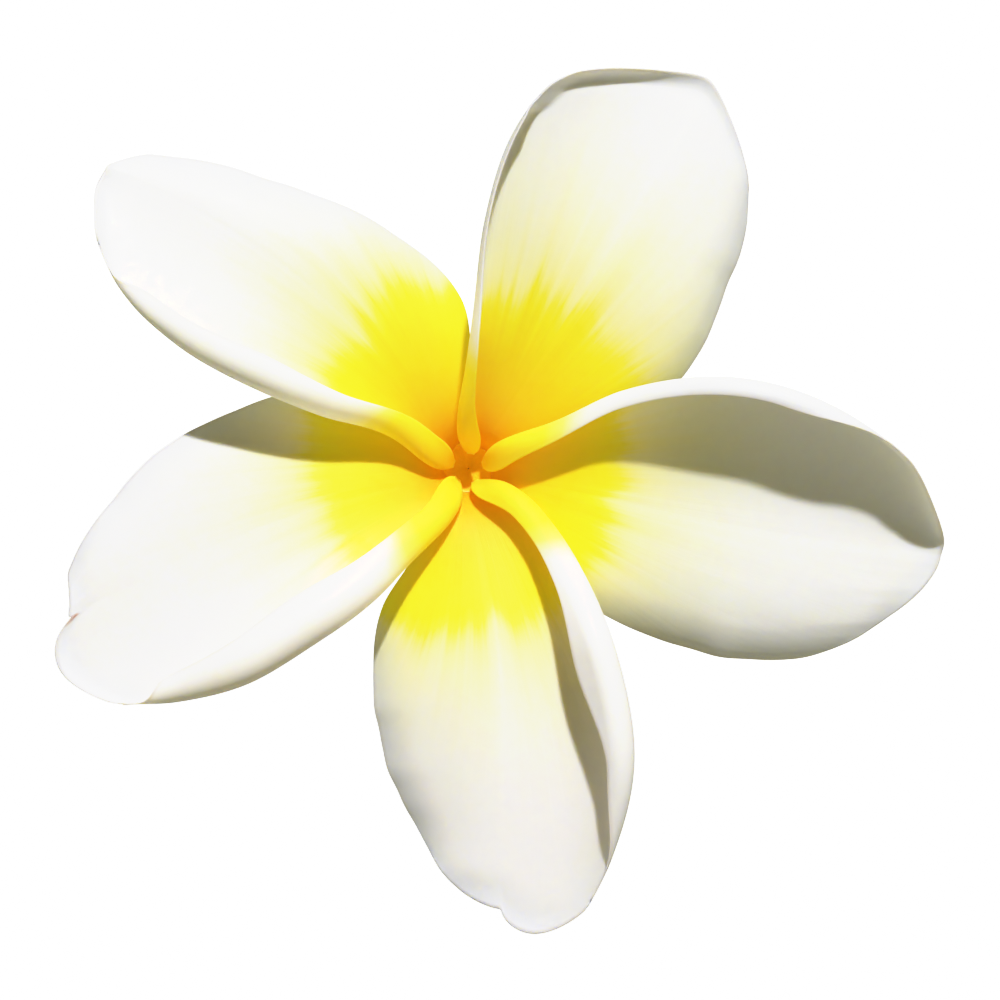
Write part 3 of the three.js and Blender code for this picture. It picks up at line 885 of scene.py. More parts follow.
class Shader(Tree):
    """A material's nodes."""

    def number(self, name: str) -> Socket:
        """Read a number that a piece carries for each point."""
        return self.add("ShaderNodeAttribute", attribute_name=name, attribute_type="GEOMETRY").outputs["Fac"]

    def spread(
        self, value: object, low: float, high: float, to_low: float = 0.0, to_high: float = 1.0
    ) -> Socket:
        """Ease a value from one range to another.

        Args:
            value: The socket that is read.
            low: Where the rise starts.
            high: Where the rise ends.
            to_low: The result at low.
            to_high: The result at high.

        Returns:
            The eased result's socket.
        """
        inputs = {"Value": value, "From Min": low, "From Max": high, "To Min": to_low, "To Max": to_high}
        node = self.add("ShaderNodeMapRange", inputs, interpolation_type="SMOOTHSTEP")
        return node.outputs["Result"]

    def noise(self, vector: Socket, scale: float, detail: float = 2.0) -> Socket:
        """Add a soft noise.

        Args:
            vector: Where it is read.
            scale: How fine it is.
            detail: How many finer layers it has.

        Returns:
            Values round 0.5.
        """
        inputs = {"Vector": vector, "Scale": scale, "Detail": detail, "Roughness": 0.5}
        return self.add("ShaderNodeTexNoise", inputs).outputs["Fac"]

    def bump(self, height: Socket, strength: float, distance: float) -> Socket:
        """Turn a height into a normal; distance is in metres."""
        inputs = {"Strength": strength, "Distance": distance, "Height": height}
        return self.add("ShaderNodeBump", inputs).outputs["Normal"]

    def ramp(self, value: Socket, stops: tuple[tuple[float, RGB], ...]) -> Socket:
        """Colour a value.

        Args:
            value: What is coloured, from 0 to 1.
            stops: Places and their colours.

        Returns:
            The colour's socket.
        """
        node = self.add("ShaderNodeValToRGB")
        elements = node.color_ramp.elements
        while len(elements) > 1:
            elements.remove(elements[-1])
        elements[0].position = stops[0][0]
        elements[0].color = (*stops[0][1], 1.0)
        for place, colour in stops[1:]:
            elements.new(place).color = (*colour, 1.0)
        self.join(value, node.inputs["Fac"])
        return node.outputs["Color"]

    def mix(self, factor: object, first: object, second: object, blend: str = "MIX") -> Socket:
        """Mix two colours.

        Args:
            factor: How much of the second there is.
            first: The first colour or socket.
            second: The second colour or socket.
            blend: The Mix node's blend type.

        Returns:
            The mixed colour's socket.
        """
        node = self.add("ShaderNodeMix", data_type="RGBA", blend_type=blend)
        self.feed(factor, node.inputs[0])
        for value, index in ((first, 6), (second, 7)):
            if isinstance(value, tuple) and len(value) == 3:
                value = (*value, 1.0)
            self.feed(value, node.inputs[index])
        return node.outputs[2]


class Pattern(Tree):
    """A geometry node tree with named inputs, whose result is kept as a plain mesh."""

    def __init__(self, name: str) -> None:
        """Start a tree.

        Args:
            name: The tree's name.
        """
        super().__init__(bpy.data.node_groups.new(name, "GeometryNodeTree"))
        self.tree.interface.new_socket("Geometry", in_out="INPUT", socket_type="NodeSocketGeometry")
        self.tree.interface.new_socket("Geometry", in_out="OUTPUT", socket_type="NodeSocketGeometry")
        self.given = self.add("NodeGroupInput")
        self.result = self.add("NodeGroupOutput")
        self.values: dict[str, float | int] = {}

    def size(self, name: str, value: float | int) -> Socket:
        """Add a named input.

        Args:
            name: The input's name.
            value: What it is set to when the tree grows, a whole number for a whole-number input.

        Returns:
            What the input gives.
        """
        kind = "NodeSocketInt" if isinstance(value, int) else "NodeSocketFloat"
        self.tree.interface.new_socket(name, in_out="INPUT", socket_type=kind)
        self.values[name] = value
        return self.given.outputs[name]

    def transform(self, geometry: Socket, inputs: dict[str, Socket]) -> Socket:
        """Move, turn or stretch a whole geometry by the Transform node's named inputs."""
        return self.add("GeometryNodeTransform", {"Geometry": geometry, **inputs}).outputs["Geometry"]

    def parts(self, vector: Socket) -> list[Socket]:
        """Split a vector into its three numbers."""
        return list(self.add("ShaderNodeSeparateXYZ", {0: vector}).outputs)

    def place(self) -> list[Socket]:
        """Read each point's place as three numbers."""
        return self.parts(self.add("GeometryNodeInputPosition").outputs[0])

    def ball(self, segments: int, rings: int, halves: tuple[object, object, object]) -> Socket:
        """Make an ellipsoid.

        Args:
            segments: How many sides it has.
            rings: How many rings it has.
            halves: Half its width, depth and height.

        Returns:
            Its geometry.
        """
        inputs = {"Segments": segments, "Rings": rings, "Radius": 1.0}
        sphere = self.add("GeometryNodeMeshUVSphere", inputs)
        return self.transform(sphere.outputs["Mesh"], {"Scale": self.vector(*halves)})

    def moved(self, geometry: Socket, place: Socket) -> Socket:
        """Move each point of a geometry to a place."""
        node = self.add("GeometryNodeSetPosition", {"Geometry": geometry, "Position": place})
        return node.outputs["Geometry"]

    def ring(self, count: object, radius: object, height: object, turn: object) -> Socket:
        """Set points round the flower's axis.

        Args:
            count: How many.
            radius: How far they are from the axis.
            height: How high they stand.
            turn: How far the first is turned from +X, in radians.

        Returns:
            The points.
        """
        circle = self.add("GeometryNodeMeshCircle", {"Vertices": count, "Radius": radius})
        ways = {"Translation": self.vector(0.0, 0.0, height), "Rotation": self.vector(0.0, 0.0, turn)}
        return self.transform(circle.outputs["Mesh"], ways)

    def random(self, low: float, high: float, seed: Socket) -> Socket:
        """Give each point a random number between two."""
        node = self.add("FunctionNodeRandomValue", {2: low, 3: high, "Seed": seed}, data_type="FLOAT")
        return node.outputs[1]

    def copies(self, points: Socket, item: Socket, rotation: Socket, scale: Socket) -> Socket:
        """Put a copy of a geometry on each point.

        Args:
            points: The points.
            item: What is copied.
            rotation: How each copy is turned.
            scale: How large each copy is.

        Returns:
            The copies.
        """
        inputs = {"Points": points, "Instance": item, "Rotation": rotation, "Scale": scale}
        return self.add("GeometryNodeInstanceOnPoints", inputs).outputs["Instances"]

    def facing_out(self) -> Socket:
        """Return the turn that points +X away from the axis and keeps +Z up."""
        x, y, _ = self.place()
        way = {"Vector": self.vector(x, y, 0.0)}
        node = self.add("FunctionNodeAlignRotationToVector", way, axis="X", pivot_axis="Z")
        return node.outputs["Rotation"]

    def close(self, geometry: Socket, material: bpy.types.Material) -> None:
        """End the tree with real geometry in one finish."""
        real = self.add("GeometryNodeRealizeInstances", {"Geometry": geometry})
        inputs = {"Geometry": real.outputs["Geometry"], "Material": material}
        dress = self.add("GeometryNodeSetMaterial", inputs)
        self.join(dress.outputs["Geometry"], self.result.inputs["Geometry"])

    def grow(self, name: str, pose: LyingPose, base: bpy.types.Mesh | None = None) -> bpy.types.Object:
        """Evaluate the tree once and lay its result down with the flower.

        Args:
            name: The piece's name.
            pose: How the flower lies.
            base: The mesh that the tree grows on, in the flower's frame.

        Returns:
            The piece.
        """
        carrier = bpy.data.objects.new(name + "_carrier", base or bpy.data.meshes.new(name + "_base"))
        bpy.context.scene.collection.objects.link(carrier)
        modifier = carrier.modifiers.new("pattern", "NODES")
        modifier.node_group = self.tree
        for item in self.tree.interface.items_tree:
            if item.item_type == "SOCKET" and item.in_out == "INPUT" and item.name in self.values:
                modifier[item.identifier] = self.values[item.name]
        evaluated = carrier.evaluated_get(bpy.context.evaluated_depsgraph_get())
        mesh = bpy.data.meshes.new_from_object(evaluated)
        carrier.modifiers.remove(modifier)
        bpy.data.objects.remove(carrier)
        places = np.empty(3 * len(mesh.vertices))
        mesh.vertices.foreach_get("co", places)
        placed = pose.rest(pose.place(places.reshape(-1, 3)), 0.0)
        mesh.vertices.foreach_set("co", placed.ravel())
        mesh.shade_smooth()
        mesh.update()
        mesh.name = name
        piece = bpy.data.objects.new(name, mesh)
        bpy.context.scene.collection.objects.link(piece)
        return piece


class FineGrain:
    """A shared effect: the faint cell grain and mottling that petals, calyx and pistil have."""

    NAME = "fine_grain"

    @classmethod
    def group(cls) -> bpy.types.NodeTree:
        """Build the group once.

        Returns:
            The node group, with Scale in and Height and Mottle out.
        """
        made = bpy.data.node_groups.get(cls.NAME)
        if made:
            return made
        made = bpy.data.node_groups.new(cls.NAME, "ShaderNodeTree")
        for name, way in (("Scale", "INPUT"), ("Height", "OUTPUT"), ("Mottle", "OUTPUT")):
            made.interface.new_socket(name, in_out=way, socket_type="NodeSocketFloat")
        shader = Shader(made)
        given = shader.add("NodeGroupInput")
        result = shader.add("NodeGroupOutput")
        place = shader.add("ShaderNodeTexCoord").outputs["Object"]
        scale = given.outputs["Scale"]
        cells = shader.add("ShaderNodeTexVoronoi", {"Vector": place, "Scale": scale}, feature="F1")
        coarse = shader.math("MULTIPLY", scale, 0.12)
        mottle = shader.add("ShaderNodeTexNoise", {"Vector": place, "Scale": coarse, "Detail": 3.0})
        shader.join(cells.outputs["Distance"], result.inputs["Height"])
        shader.join(mottle.outputs["Fac"], result.inputs["Mottle"])
        return made

    @classmethod
    def use(cls, shader: Shader, scale: float) -> tuple[Socket, Socket]:
        """Place the group in a material.

        Args:
            shader: The material's nodes.
            scale: How many grains fit in a metre.

        Returns:
            The height and the mottling.
        """
        node = shader.add("ShaderNodeGroup")
        node.node_tree = cls.group()
        node.inputs["Scale"].default_value = scale
        return node.outputs["Height"], node.outputs["Mottle"]


def new_material(name: str) -> tuple[bpy.types.Material, Shader, bpy.types.Node]:
    """Start a material.

    Args:
        name: The material's name.

    Returns:
        The material, its nodes and its Principled BSDF.
    """
    material = bpy.data.materials.new(name)
    material.use_nodes = True
    principled = material.node_tree.nodes["Principled BSDF"]
    return material, Shader(material.node_tree), principled


# ---- Finishes ----------------------------------------------------------------------------------------


@dataclass(frozen=True)
class PetalFinish:
    """Soft waxy petal: deep orange in the throat, then yellow fingers that run out along the veins to white.

    stops are the upper face's colours by their share of full_reach, the distance from the mouth where the
    last yellow has gone, and outer_stops the back's. The fingers, the veins and the spine's warmth follow
    rays that meet ray_centre below the mouth. subsurface_scale and the bump's distance are in metres.
    """

    full_reach: float = 30.0
    stops: tuple[tuple[float, RGB], ...] = (
        (0.000, (0.62, 0.20, 0.003)),
        (0.033, (0.78, 0.37, 0.006)),
        (0.067, (0.80, 0.43, 0.008)),
        (0.100, (0.82, 0.50, 0.010)),
        (0.140, (0.83, 0.57, 0.012)),
        (0.190, (0.84, 0.62, 0.012)),
        (0.270, (0.86, 0.69, 0.013)),
        (0.360, (0.89, 0.775, 0.018)),
        (0.400, (0.90, 0.80, 0.060)),
        (0.435, (0.915, 0.83, 0.250)),
        (0.475, (0.925, 0.855, 0.420)),
        (0.540, (0.935, 0.875, 0.550)),
        (0.640, (0.945, 0.895, 0.680)),
        (0.800, (0.955, 0.905, 0.810)),
        (0.970, (0.955, 0.905, 0.875)),
    )
    outer_stops: tuple[tuple[float, RGB], ...] = (
        (0.00, (0.84, 0.56, 0.014)),
        (0.08, (0.88, 0.66, 0.018)),
        (0.15, (0.93, 0.78, 0.030)),
        (0.20, (0.94, 0.84, 0.150)),
        (0.25, (0.945, 0.89, 0.500)),
        (0.32, (0.95, 0.92, 0.760)),
        (0.45, (0.95, 0.915, 0.865)),
    )
    blush_tint: RGB = (1.0, 0.955, 0.955)
    scar: RGB = (0.42, 0.16, 0.09)
    finger_length: float = 5.0
    ray_centre: float = 2.5
    broad_rays: float = 5.5
    fine_rays: float = 24.0
    vein_rays: float = 60.0
    drift: float = 0.035
    # Painted light: how strongly the petals glow in their own colour near the throat, standing in for light
    # bounced between and shone through the petals.
    painted_throat_glow: float = 0.22
    # Painted shade: the pinkish grey that the petal's colour turns towards along its margins.
    painted_rim_shade: RGB = (0.72, 0.62, 0.58)
    roughness: tuple[float, float] = (0.42, 0.56)
    subsurface: float = 1.0
    subsurface_scale: float = 0.0006
    subsurface_radius: RGB = (1.0, 0.9, 0.5)

    def build(self) -> bpy.types.Material:
        """Build the material.

        Returns:
            The material.
        """
        material, shader, principled = new_material("petal_finish")
        names = ("along", "warm", "aside", "petal", "across", "outer")
        along, warm, aside, petal, across, outer = map(shader.number, names)
        ray = shader.math("ARCTAN2", aside, shader.math("ADD", along, self.ray_centre))
        slow = shader.math("MULTIPLY", along, self.drift)
        counts = (self.broad_rays, self.fine_rays, self.vein_rays)
        rays = [shader.math("MULTIPLY", ray, count) for count in counts]
        broad, fine, veins = (
            shader.noise(shader.vector(across_rays, slow, petal), 1.0, detail)
            for across_rays, detail in zip(rays, (1.0, 2.0, 2.0))
        )
        spine = shader.math("MULTIPLY", shader.math("ABSOLUTE", across), 14.0)
        spine = shader.math("EXPONENT", shader.math("MULTIPLY", spine, -1.0))
        broad = shader.math("MULTIPLY_ADD", broad, 1.2, -0.6)
        fingers = shader.math("ADD", broad, shader.math("MULTIPLY_ADD", fine, 0.9, -0.45))
        fingers = shader.math("MULTIPLY_ADD", spine, 0.45, fingers)
        side = shader.math("POWER", shader.math("ABSOLUTE", across), 2.0)
        fingers = shader.math("MULTIPLY_ADD", side, 0.8, fingers)
        strength = shader.spread(along, 5.0, 14.0)
        moved = shader.math("MULTIPLY", shader.math("MULTIPLY", fingers, strength), self.finger_length)
        reached = shader.math("DIVIDE", shader.math("ADD", warm, moved), self.full_reach)
        upper = shader.ramp(reached, self.stops)
        lower = shader.ramp(reached, self.outer_stops)
        colour = shader.mix(outer, upper, lower)
        colour = shader.mix(shader.number("blush"), colour, self.blush_tint, "MULTIPLY")
        colour = shader.mix(shader.number("scar"), colour, self.scar)
        height, mottle = FineGrain.use(shader, 9000.0)
        fade = shader.math("MULTIPLY_ADD", mottle, 0.05, 0.97)
        colour = shader.mix(1.0, colour, shader.mix(fade, (0.0, 0.0, 0.0), (1.0, 1.0, 1.0)), "MULTIPLY")
        # Painted shade: within 0.4 mm of a margin, the colour is mixed up to 0.6 of the way to a pinkish
        # grey, standing in for the shade along the petal's edges. This starts 9 mm out from the mouth and
        # reaches full strength by 18 mm.
        rim_shade_share = shader.spread(shader.number("margin"), 0.0, 0.4, 0.6, 0.0)
        rim_shade_share = shader.math("MULTIPLY", rim_shade_share, shader.spread(along, 9.0, 18.0))
        colour = shader.mix(rim_shade_share, colour, self.painted_rim_shade)
        # Painted light: the petals' glow is full in the tube and up to 4 mm from the mouth, and is gone by 18
        # mm, brightening the shaded throat.
        deep = shader.spread(along, 4.0, 18.0, 1.0, 0.0)
        relief = shader.math("MULTIPLY_ADD", height, 0.12, veins)
        shader.fill(principled, {
            "Base Color": colour,
            "Emission Color": shader.mix(deep, (0.0, 0.0, 0.0), colour),
            "Emission Strength": self.painted_throat_glow,
            "Roughness": shader.spread(mottle, 0.3, 0.7, *self.roughness),
            "Normal": shader.bump(relief, 0.25, 0.00006),
            "Subsurface Weight": self.subsurface,
            "Subsurface Scale": self.subsurface_scale,
            "Subsurface Radius": self.subsurface_radius,
            "Specular IOR Level": 0.3,
        })
        return material


@dataclass(frozen=True)
class GreenFinish:
    """Calyx and stalk: smooth pale green skin with darker flecks and a faint reddish blush."""

    pale: RGB = (0.30, 0.42, 0.10)
    deep: RGB = (0.12, 0.22, 0.04)
    blush: RGB = (0.36, 0.20, 0.09)
    pith: RGB = (0.62, 0.66, 0.38)

    def build(self) -> bpy.types.Material:
        """Build the material.

        Returns:
            The material.
        """
        material, shader, principled = new_material("green_finish")
        height, mottle = FineGrain.use(shader, 4000.0)
        shade = shader.spread(mottle, 0.35, 0.65)
        colour = shader.mix(shade, self.deep, self.pale)
        place = shader.add("ShaderNodeTexCoord").outputs["Object"]
        patch = shader.noise(place, 220.0, 2.0)
        colour = shader.mix(shader.spread(patch, 0.52, 0.75, 0.0, 0.55), colour, self.blush)
        pith = shader.spread(shader.number("core"), 0.05, 0.3)
        colour = shader.mix(pith, colour, self.pith)
        shader.fill(principled, {
            "Base Color": colour,
            "Roughness": shader.spread(mottle, 0.3, 0.7, 0.38, 0.6),
            "Normal": shader.bump(height, 0.4, 0.0001),
            "Subsurface Weight": 0.2,
            "Subsurface Scale": 0.0005,
        })
        return material


@dataclass(frozen=True)
class FleckFinish:
    """The stalk's flecks: dry pale cork."""

    pale: RGB = (0.42, 0.36, 0.20)
    deep: RGB = (0.24, 0.20, 0.10)

    def build(self) -> bpy.types.Material:
        """Build the material.

        Returns:
            The material.
        """
        material, shader, principled = new_material("fleck_finish")
        _, mottle = FineGrain.use(shader, 9000.0)
        colour = shader.mix(mottle, self.deep, self.pale)
        shader.fill(principled, {"Base Color": colour, "Roughness": 0.85})
        return material


@dataclass(frozen=True)
class StamenFinish:
    """Stamens: pale yellow anthers dusted with pollen."""

    pale: RGB = (0.85, 0.74, 0.36)
    deep: RGB = (0.72, 0.50, 0.12)

    def build(self) -> bpy.types.Material:
        """Build the material.

        Returns:
            The material.
        """
        material, shader, principled = new_material("stamen_finish")
        height, mottle = FineGrain.use(shader, 12000.0)
        shader.fill(principled, {
            "Base Color": shader.mix(mottle, self.deep, self.pale),
            "Roughness": 0.8,
            "Normal": shader.bump(height, 0.5, 0.00004),
        })
        return material


@dataclass(frozen=True)
class PistilFinish:
    """Pistil: pale green ovary and style."""

    pale: RGB = (0.62, 0.66, 0.30)
    deep: RGB = (0.40, 0.50, 0.16)

    def build(self) -> bpy.types.Material:
        """Build the material.

        Returns:
            The material.
        """
        material, shader, principled = new_material("pistil_finish")
        height, mottle = FineGrain.use(shader, 6000.0)
        colour = shader.mix(shader.spread(mottle, 0.35, 0.65), self.deep, self.pale)
        shader.fill(principled, {
            "Base Color": colour,
            "Roughness": shader.spread(mottle, 0.3, 0.7, 0.4, 0.6),
            "Normal": shader.bump(height, 0.3, 0.00005),
        })
        return material


@dataclass(frozen=True)
class FloorFinish:
    """Plain pale floor."""

    colour: RGB = (0.25, 0.25, 0.18)
    shade: RGB = (0.22, 0.22, 0.16)
    glow: float = 1.68
    bounce: float = 0.03

    def build(self) -> bpy.types.Material:
        """Build the material.

        Returns:
            The material.
        """
        material, shader, principled = new_material("floor_finish")
        place = shader.add("ShaderNodeTexCoord").outputs["Object"]
        soft = shader.noise(place, 40.0, 3.0)
        shade = shader.spread(soft, 0.3, 0.7, 0.985, 1.0)
        seen = shader.add("ShaderNodeLightPath").outputs["Is Camera Ray"]
        shader.fill(principled, {
            "Base Color": shader.mix(shade, self.shade, self.colour),
            "Roughness": 0.9,
            "Specular IOR Level": 0.1,
            "Emission Color": shader.mix(seen, (self.bounce,) * 3, (1.0, 1.0, 1.0)),
            "Emission Strength": self.glow,
        })
        return material


# ---- Sub-assemblies ----------------------------------------------------------------------------------


@dataclass
class Stamens:
    """The ring of pointed anthers on short filaments that grow on the tube's wall near its foot."""

    pose: LyingPose
    finish: StamenFinish = field(default_factory=StamenFinish)
    count: int = 5
    ring: float = 1.05
    height: float = -12.8
    length: float = 1.9
    width: float = 0.62
    point: float = 0.6
    filament: float = 1.3
    seed: int = 5

    def build(self) -> bpy.types.Object:
        """Build and dress the ring.

        Returns:
            The piece.
        """
        pattern = Pattern("stamen_ring")
        count = pattern.size("Count", self.count)
        ring = pattern.size("Ring Radius", self.ring)
        height = pattern.size("Height", self.height)
        length = pattern.size("Anther Length", self.length)
        width = pattern.size("Anther Width", self.width)
        point = pattern.size("Point", self.point)
        filament = pattern.size("Filament Length", self.filament)
        seed = pattern.size("Seed", self.seed)
        half_width = pattern.math("MULTIPLY", width, 0.5)
        half_length = pattern.math("MULTIPLY", length, 0.5)
        anther = pattern.ball(24, 18, (half_width, half_width, half_length))
        x, y, z = pattern.place()
        up = pattern.math("DIVIDE", z, half_length)
        narrows = pattern.math("MULTIPLY", point, pattern.math("MAXIMUM", up, 0.0))
        kept = pattern.math("SUBTRACT", 1.0, narrows)
        across = pattern.math("DIVIDE", y, half_width)
        groove = pattern.math("MULTIPLY", across, across)
        groove = pattern.math("MULTIPLY_ADD", groove, 0.35, 0.75)
        place = pattern.vector(
            pattern.math("MULTIPLY", pattern.math("MULTIPLY", x, kept), groove),
            pattern.math("MULTIPLY", y, kept),
            z,
        )
        anther = pattern.moved(anther, place)
        radius = pattern.math("MULTIPLY", width, 0.2)
        inputs = {"Vertices": 12, "Radius": radius, "Depth": filament}
        stem = pattern.add("GeometryNodeMeshCylinder", inputs).outputs["Mesh"]
        low = pattern.math("MULTIPLY", pattern.math("ADD", length, filament), -0.45)
        below = pattern.vector(pattern.math("MULTIPLY", width, 0.3), 0.0, low)
        both = pattern.add("GeometryNodeJoinGeometry")
        pattern.join(pattern.transform(stem, {"Translation": below}), both.inputs["Geometry"])
        pattern.join(anther, both.inputs["Geometry"])
        points = pattern.ring(count, ring, height, 0.3)
        scale = pattern.random(0.92, 1.06, seed)
        copies = pattern.copies(points, both.outputs["Geometry"], pattern.facing_out(), scale)
        pattern.close(copies, self.finish.build())
        return pattern.grow("stamens", self.pose)


@dataclass
class Corolla:
    """Five petals grown onto one tube, with the stamens inside it."""

    pose: LyingPose
    finish: PetalFinish = field(default_factory=PetalFinish)

    def build(self) -> list[bpy.types.Object]:
        """Build and dress the petals and the tube.

        Returns:
            The pieces.
        """
        material = self.finish.build()
        pieces = [PetalBlade(name, shape, self.pose).build() for name, shape in PETALS.items()]
        pieces.append(Tube(self.pose).build())
        for piece in pieces:
            piece.data.materials.append(material)
        pieces.append(Stamens(self.pose).build())
        for piece in pieces:
            settle(piece, Node.COROLLA)
        return pieces


def turned_points(corners: list[tuple[float, float]], sides: int) -> tuple[np.ndarray, np.ndarray]:
    """Turn a (radius, height) outline about the flower's axis.

    Args:
        corners: The outline from the bottom of the axis to its top, both ends on the axis.
        sides: How many sides the turned form has.

    Returns:
        Its points, and its faces as quads whose poles are single points.
    """
    turns = np.linspace(0.0, 2.0 * math.pi, sides, endpoint=False)
    rings = corners[1:-1]
    points = [np.array([[0.0, 0.0, corners[0][1]]])]
    for radius, height in rings:
        ring = np.stack([radius * np.cos(turns), radius * np.sin(turns), np.full(sides, height)], -1)
        points.append(ring)
    points.append(np.array([[0.0, 0.0, corners[-1][1]]]))
    faces: list[tuple[int, ...]] = []
    last = 1 + len(rings) * sides
    for j in range(sides):
        k = (j + 1) % sides
        faces.append((0, 1 + k, 1 + j))
        for i in range(len(rings) - 1):
            low = 1 + i * sides
            high = low + sides
            faces.append((low + j, low + k, high + k, high + j))
        top = 1 + (len(rings) - 1) * sides
        faces.append((top + j, top + k, last))
    return np.concatenate(points), faces


@dataclass
class CalyxAndStalk:
    """The green cup under the tube with its lobes, and the short stalk, cut off slanting on the surface."""

    pose: LyingPose
    finish: GreenFinish = field(default_factory=GreenFinish)
    fleck_finish: FleckFinish = field(default_factory=FleckFinish)
    inner: float = 2.4
    wall: float = 0.65
    floor: float = -16.3
    rim: float = -14.2
    stalk_radius: float = 1.25
    stalk_foot: float = -25.0
    lobes: int = 5
    lobe_half: tuple[float, float, float] = (0.45, 1.25, 1.6)
    lobe_point: float = 0.55
    fleck: float = 0.11
    flecks_for_area: float = 1.1
    fleck_foot: float = -20.3
    seed: int = 8

    def build(self) -> list[bpy.types.Object]:
        """Build and dress the cup, the stalk, the lobes and the stalk's corky flecks.

        Returns:
            The pieces.
        """
        material = self.finish.build()
        points, faces = self.cup()
        body = mesh_object("calyx_cup", self.pose.rest(self.pose.place(self.pose.cut(points)), 0.0), faces)
        body.data.materials.append(material)
        set_attribute(body, "core", self.core(points))
        bare = bpy.data.meshes.new("calyx_form")
        bare.from_pydata(self.pose.cut(points).tolist(), [], faces)
        pieces = [body, self.grow_lobes(material), self.grow_flecks(bare)]
        for piece in pieces:
            settle(piece, Node.GREEN)
        return pieces

    def cup(self) -> tuple[np.ndarray, list[tuple[int, ...]]]:
        """Turn the cup and the stalk in one, a little uneven as they grow.

        Returns:
            Points of the flower's frame, and faces.
        """
        outer = self.inner + self.wall
        neck = self.stalk_radius
        line = smooth_line(
            (
                (neck, self.stalk_foot), (neck, -22.0), (0.97 * neck, -20.4), (neck, self.floor - 2.6),
                (1.2 * neck, self.floor - 1.6), (0.92 * outer, self.floor - 0.5), (outer, self.floor + 0.6),
                (outer, self.rim - 0.5), (self.inner + 0.35, self.rim), (self.inner, self.rim - 0.2),
                (self.inner, self.rim - 1.0), (self.inner, self.floor + 0.1),
            ),
            6,
        )
        corners = [(0.0, self.stalk_foot), *map(tuple, line.tolist()), (0.0, self.floor)]
        points, faces = turned_points(corners, 72)
        turn = np.arctan2(points[:, 1], points[:, 0])
        radius = np.hypot(points[:, 0], points[:, 1])
        outside = smooth((self.floor + 0.4 - points[:, 2]) / 1.0) * smooth(radius / 0.5)
        ridges = 0.03 * np.cos(5.0 * turn + 0.4 * points[:, 2]) + 0.012 * np.cos(13.0 * turn + 1.0)
        swell = 1.0 + outside * (ridges + 0.02 * np.sin(1.7 * points[:, 2]))
        points[:, :2] *= swell[:, None]
        return points, faces

    def core(self, points: np.ndarray) -> np.ndarray:
        """Say how far each point lies inside the stalk's cut, from 0 at the skin to 1 at the middle."""
        radius = np.hypot(points[:, 0], points[:, 1])
        return np.where(points[:, 2] <= self.stalk_foot, 1.0 - radius / self.stalk_radius, 0.0)

    def grow_lobes(self, material: bpy.types.Material) -> bpy.types.Object:
        """Grow the pointed lobes that hug the tube above the cup's rim.

        Args:
            material: The green finish.

        Returns:
            The piece.
        """
        pattern = Pattern("calyx_lobes")
        count = pattern.size("Count", self.lobes)
        ring = pattern.size("Ring Radius", self.inner + 0.5 * self.wall + 0.05)
        height = pattern.size("Height", self.rim)
        names = ("Half Thickness", "Half Width", "Half Height")
        halves = [pattern.size(name, half) for name, half in zip(names, self.lobe_half)]
        point = pattern.size("Point", self.lobe_point)
        seed = pattern.size("Seed", self.seed)
        lobe = pattern.ball(28, 20, tuple(halves))
        x, y, z = pattern.place()
        up = pattern.math("MAXIMUM", pattern.math("DIVIDE", z, halves[2]), 0.0)
        kept = pattern.math("SUBTRACT", 1.0, pattern.math("MULTIPLY", point, up))
        width = pattern.math("MULTIPLY", y, kept)
        square = pattern.math("MULTIPLY", width, width)
        bend = pattern.math("DIVIDE", square, pattern.math("MULTIPLY", ring, 2.0))
        thick = pattern.math("MULTIPLY", x, pattern.math("MULTIPLY_ADD", up, -0.35, 1.0))
        lobe = pattern.moved(lobe, pattern.vector(pattern.math("SUBTRACT", thick, bend), width, z))
        turn = pattern.math("DIVIDE", math.pi, count)
        points = pattern.ring(count, ring, height, turn)
        scale = pattern.random(0.93, 1.0, seed)
        pattern.close(pattern.copies(points, lobe, pattern.facing_out(), scale), material)
        return pattern.grow("calyx_lobes", self.pose)

    def grow_flecks(self, base: bpy.types.Mesh) -> bpy.types.Object:
        """Scatter the corky flecks over the stalk's skin.

        Args:
            base: The cup and the stalk in the flower's frame.

        Returns:
            The piece.
        """
        pattern = Pattern("stalk_flecks")
        size = pattern.size("Fleck Radius", self.fleck)
        density = pattern.size("Flecks for Area", self.flecks_for_area)
        top = pattern.size("Top", self.floor - 0.8)
        bottom = pattern.size("Bottom", self.fleck_foot)
        seed = pattern.size("Seed", self.seed)
        _, _, z = pattern.place()
        under = pattern.math("LESS_THAN", z, top)
        over = pattern.math("GREATER_THAN", z, bottom)
        scatter = pattern.add("GeometryNodeDistributePointsOnFaces", {
            "Mesh": pattern.given.outputs["Geometry"],
            "Selection": pattern.math("MULTIPLY", under, over),
            "Density": density,
            "Seed": seed,
        })
        flat = pattern.math("MULTIPLY", size, 0.45)
        long = pattern.math("MULTIPLY", size, 1.5)
        fleck = pattern.ball(12, 8, (size, long, flat))
        scale = pattern.random(0.6, 1.3, seed)
        rotation = scatter.outputs["Rotation"]
        copies = pattern.copies(scatter.outputs["Points"], fleck, rotation, scale)
        pattern.close(copies, self.fleck_finish.build())
        return pattern.grow("stalk_flecks", self.pose, base)


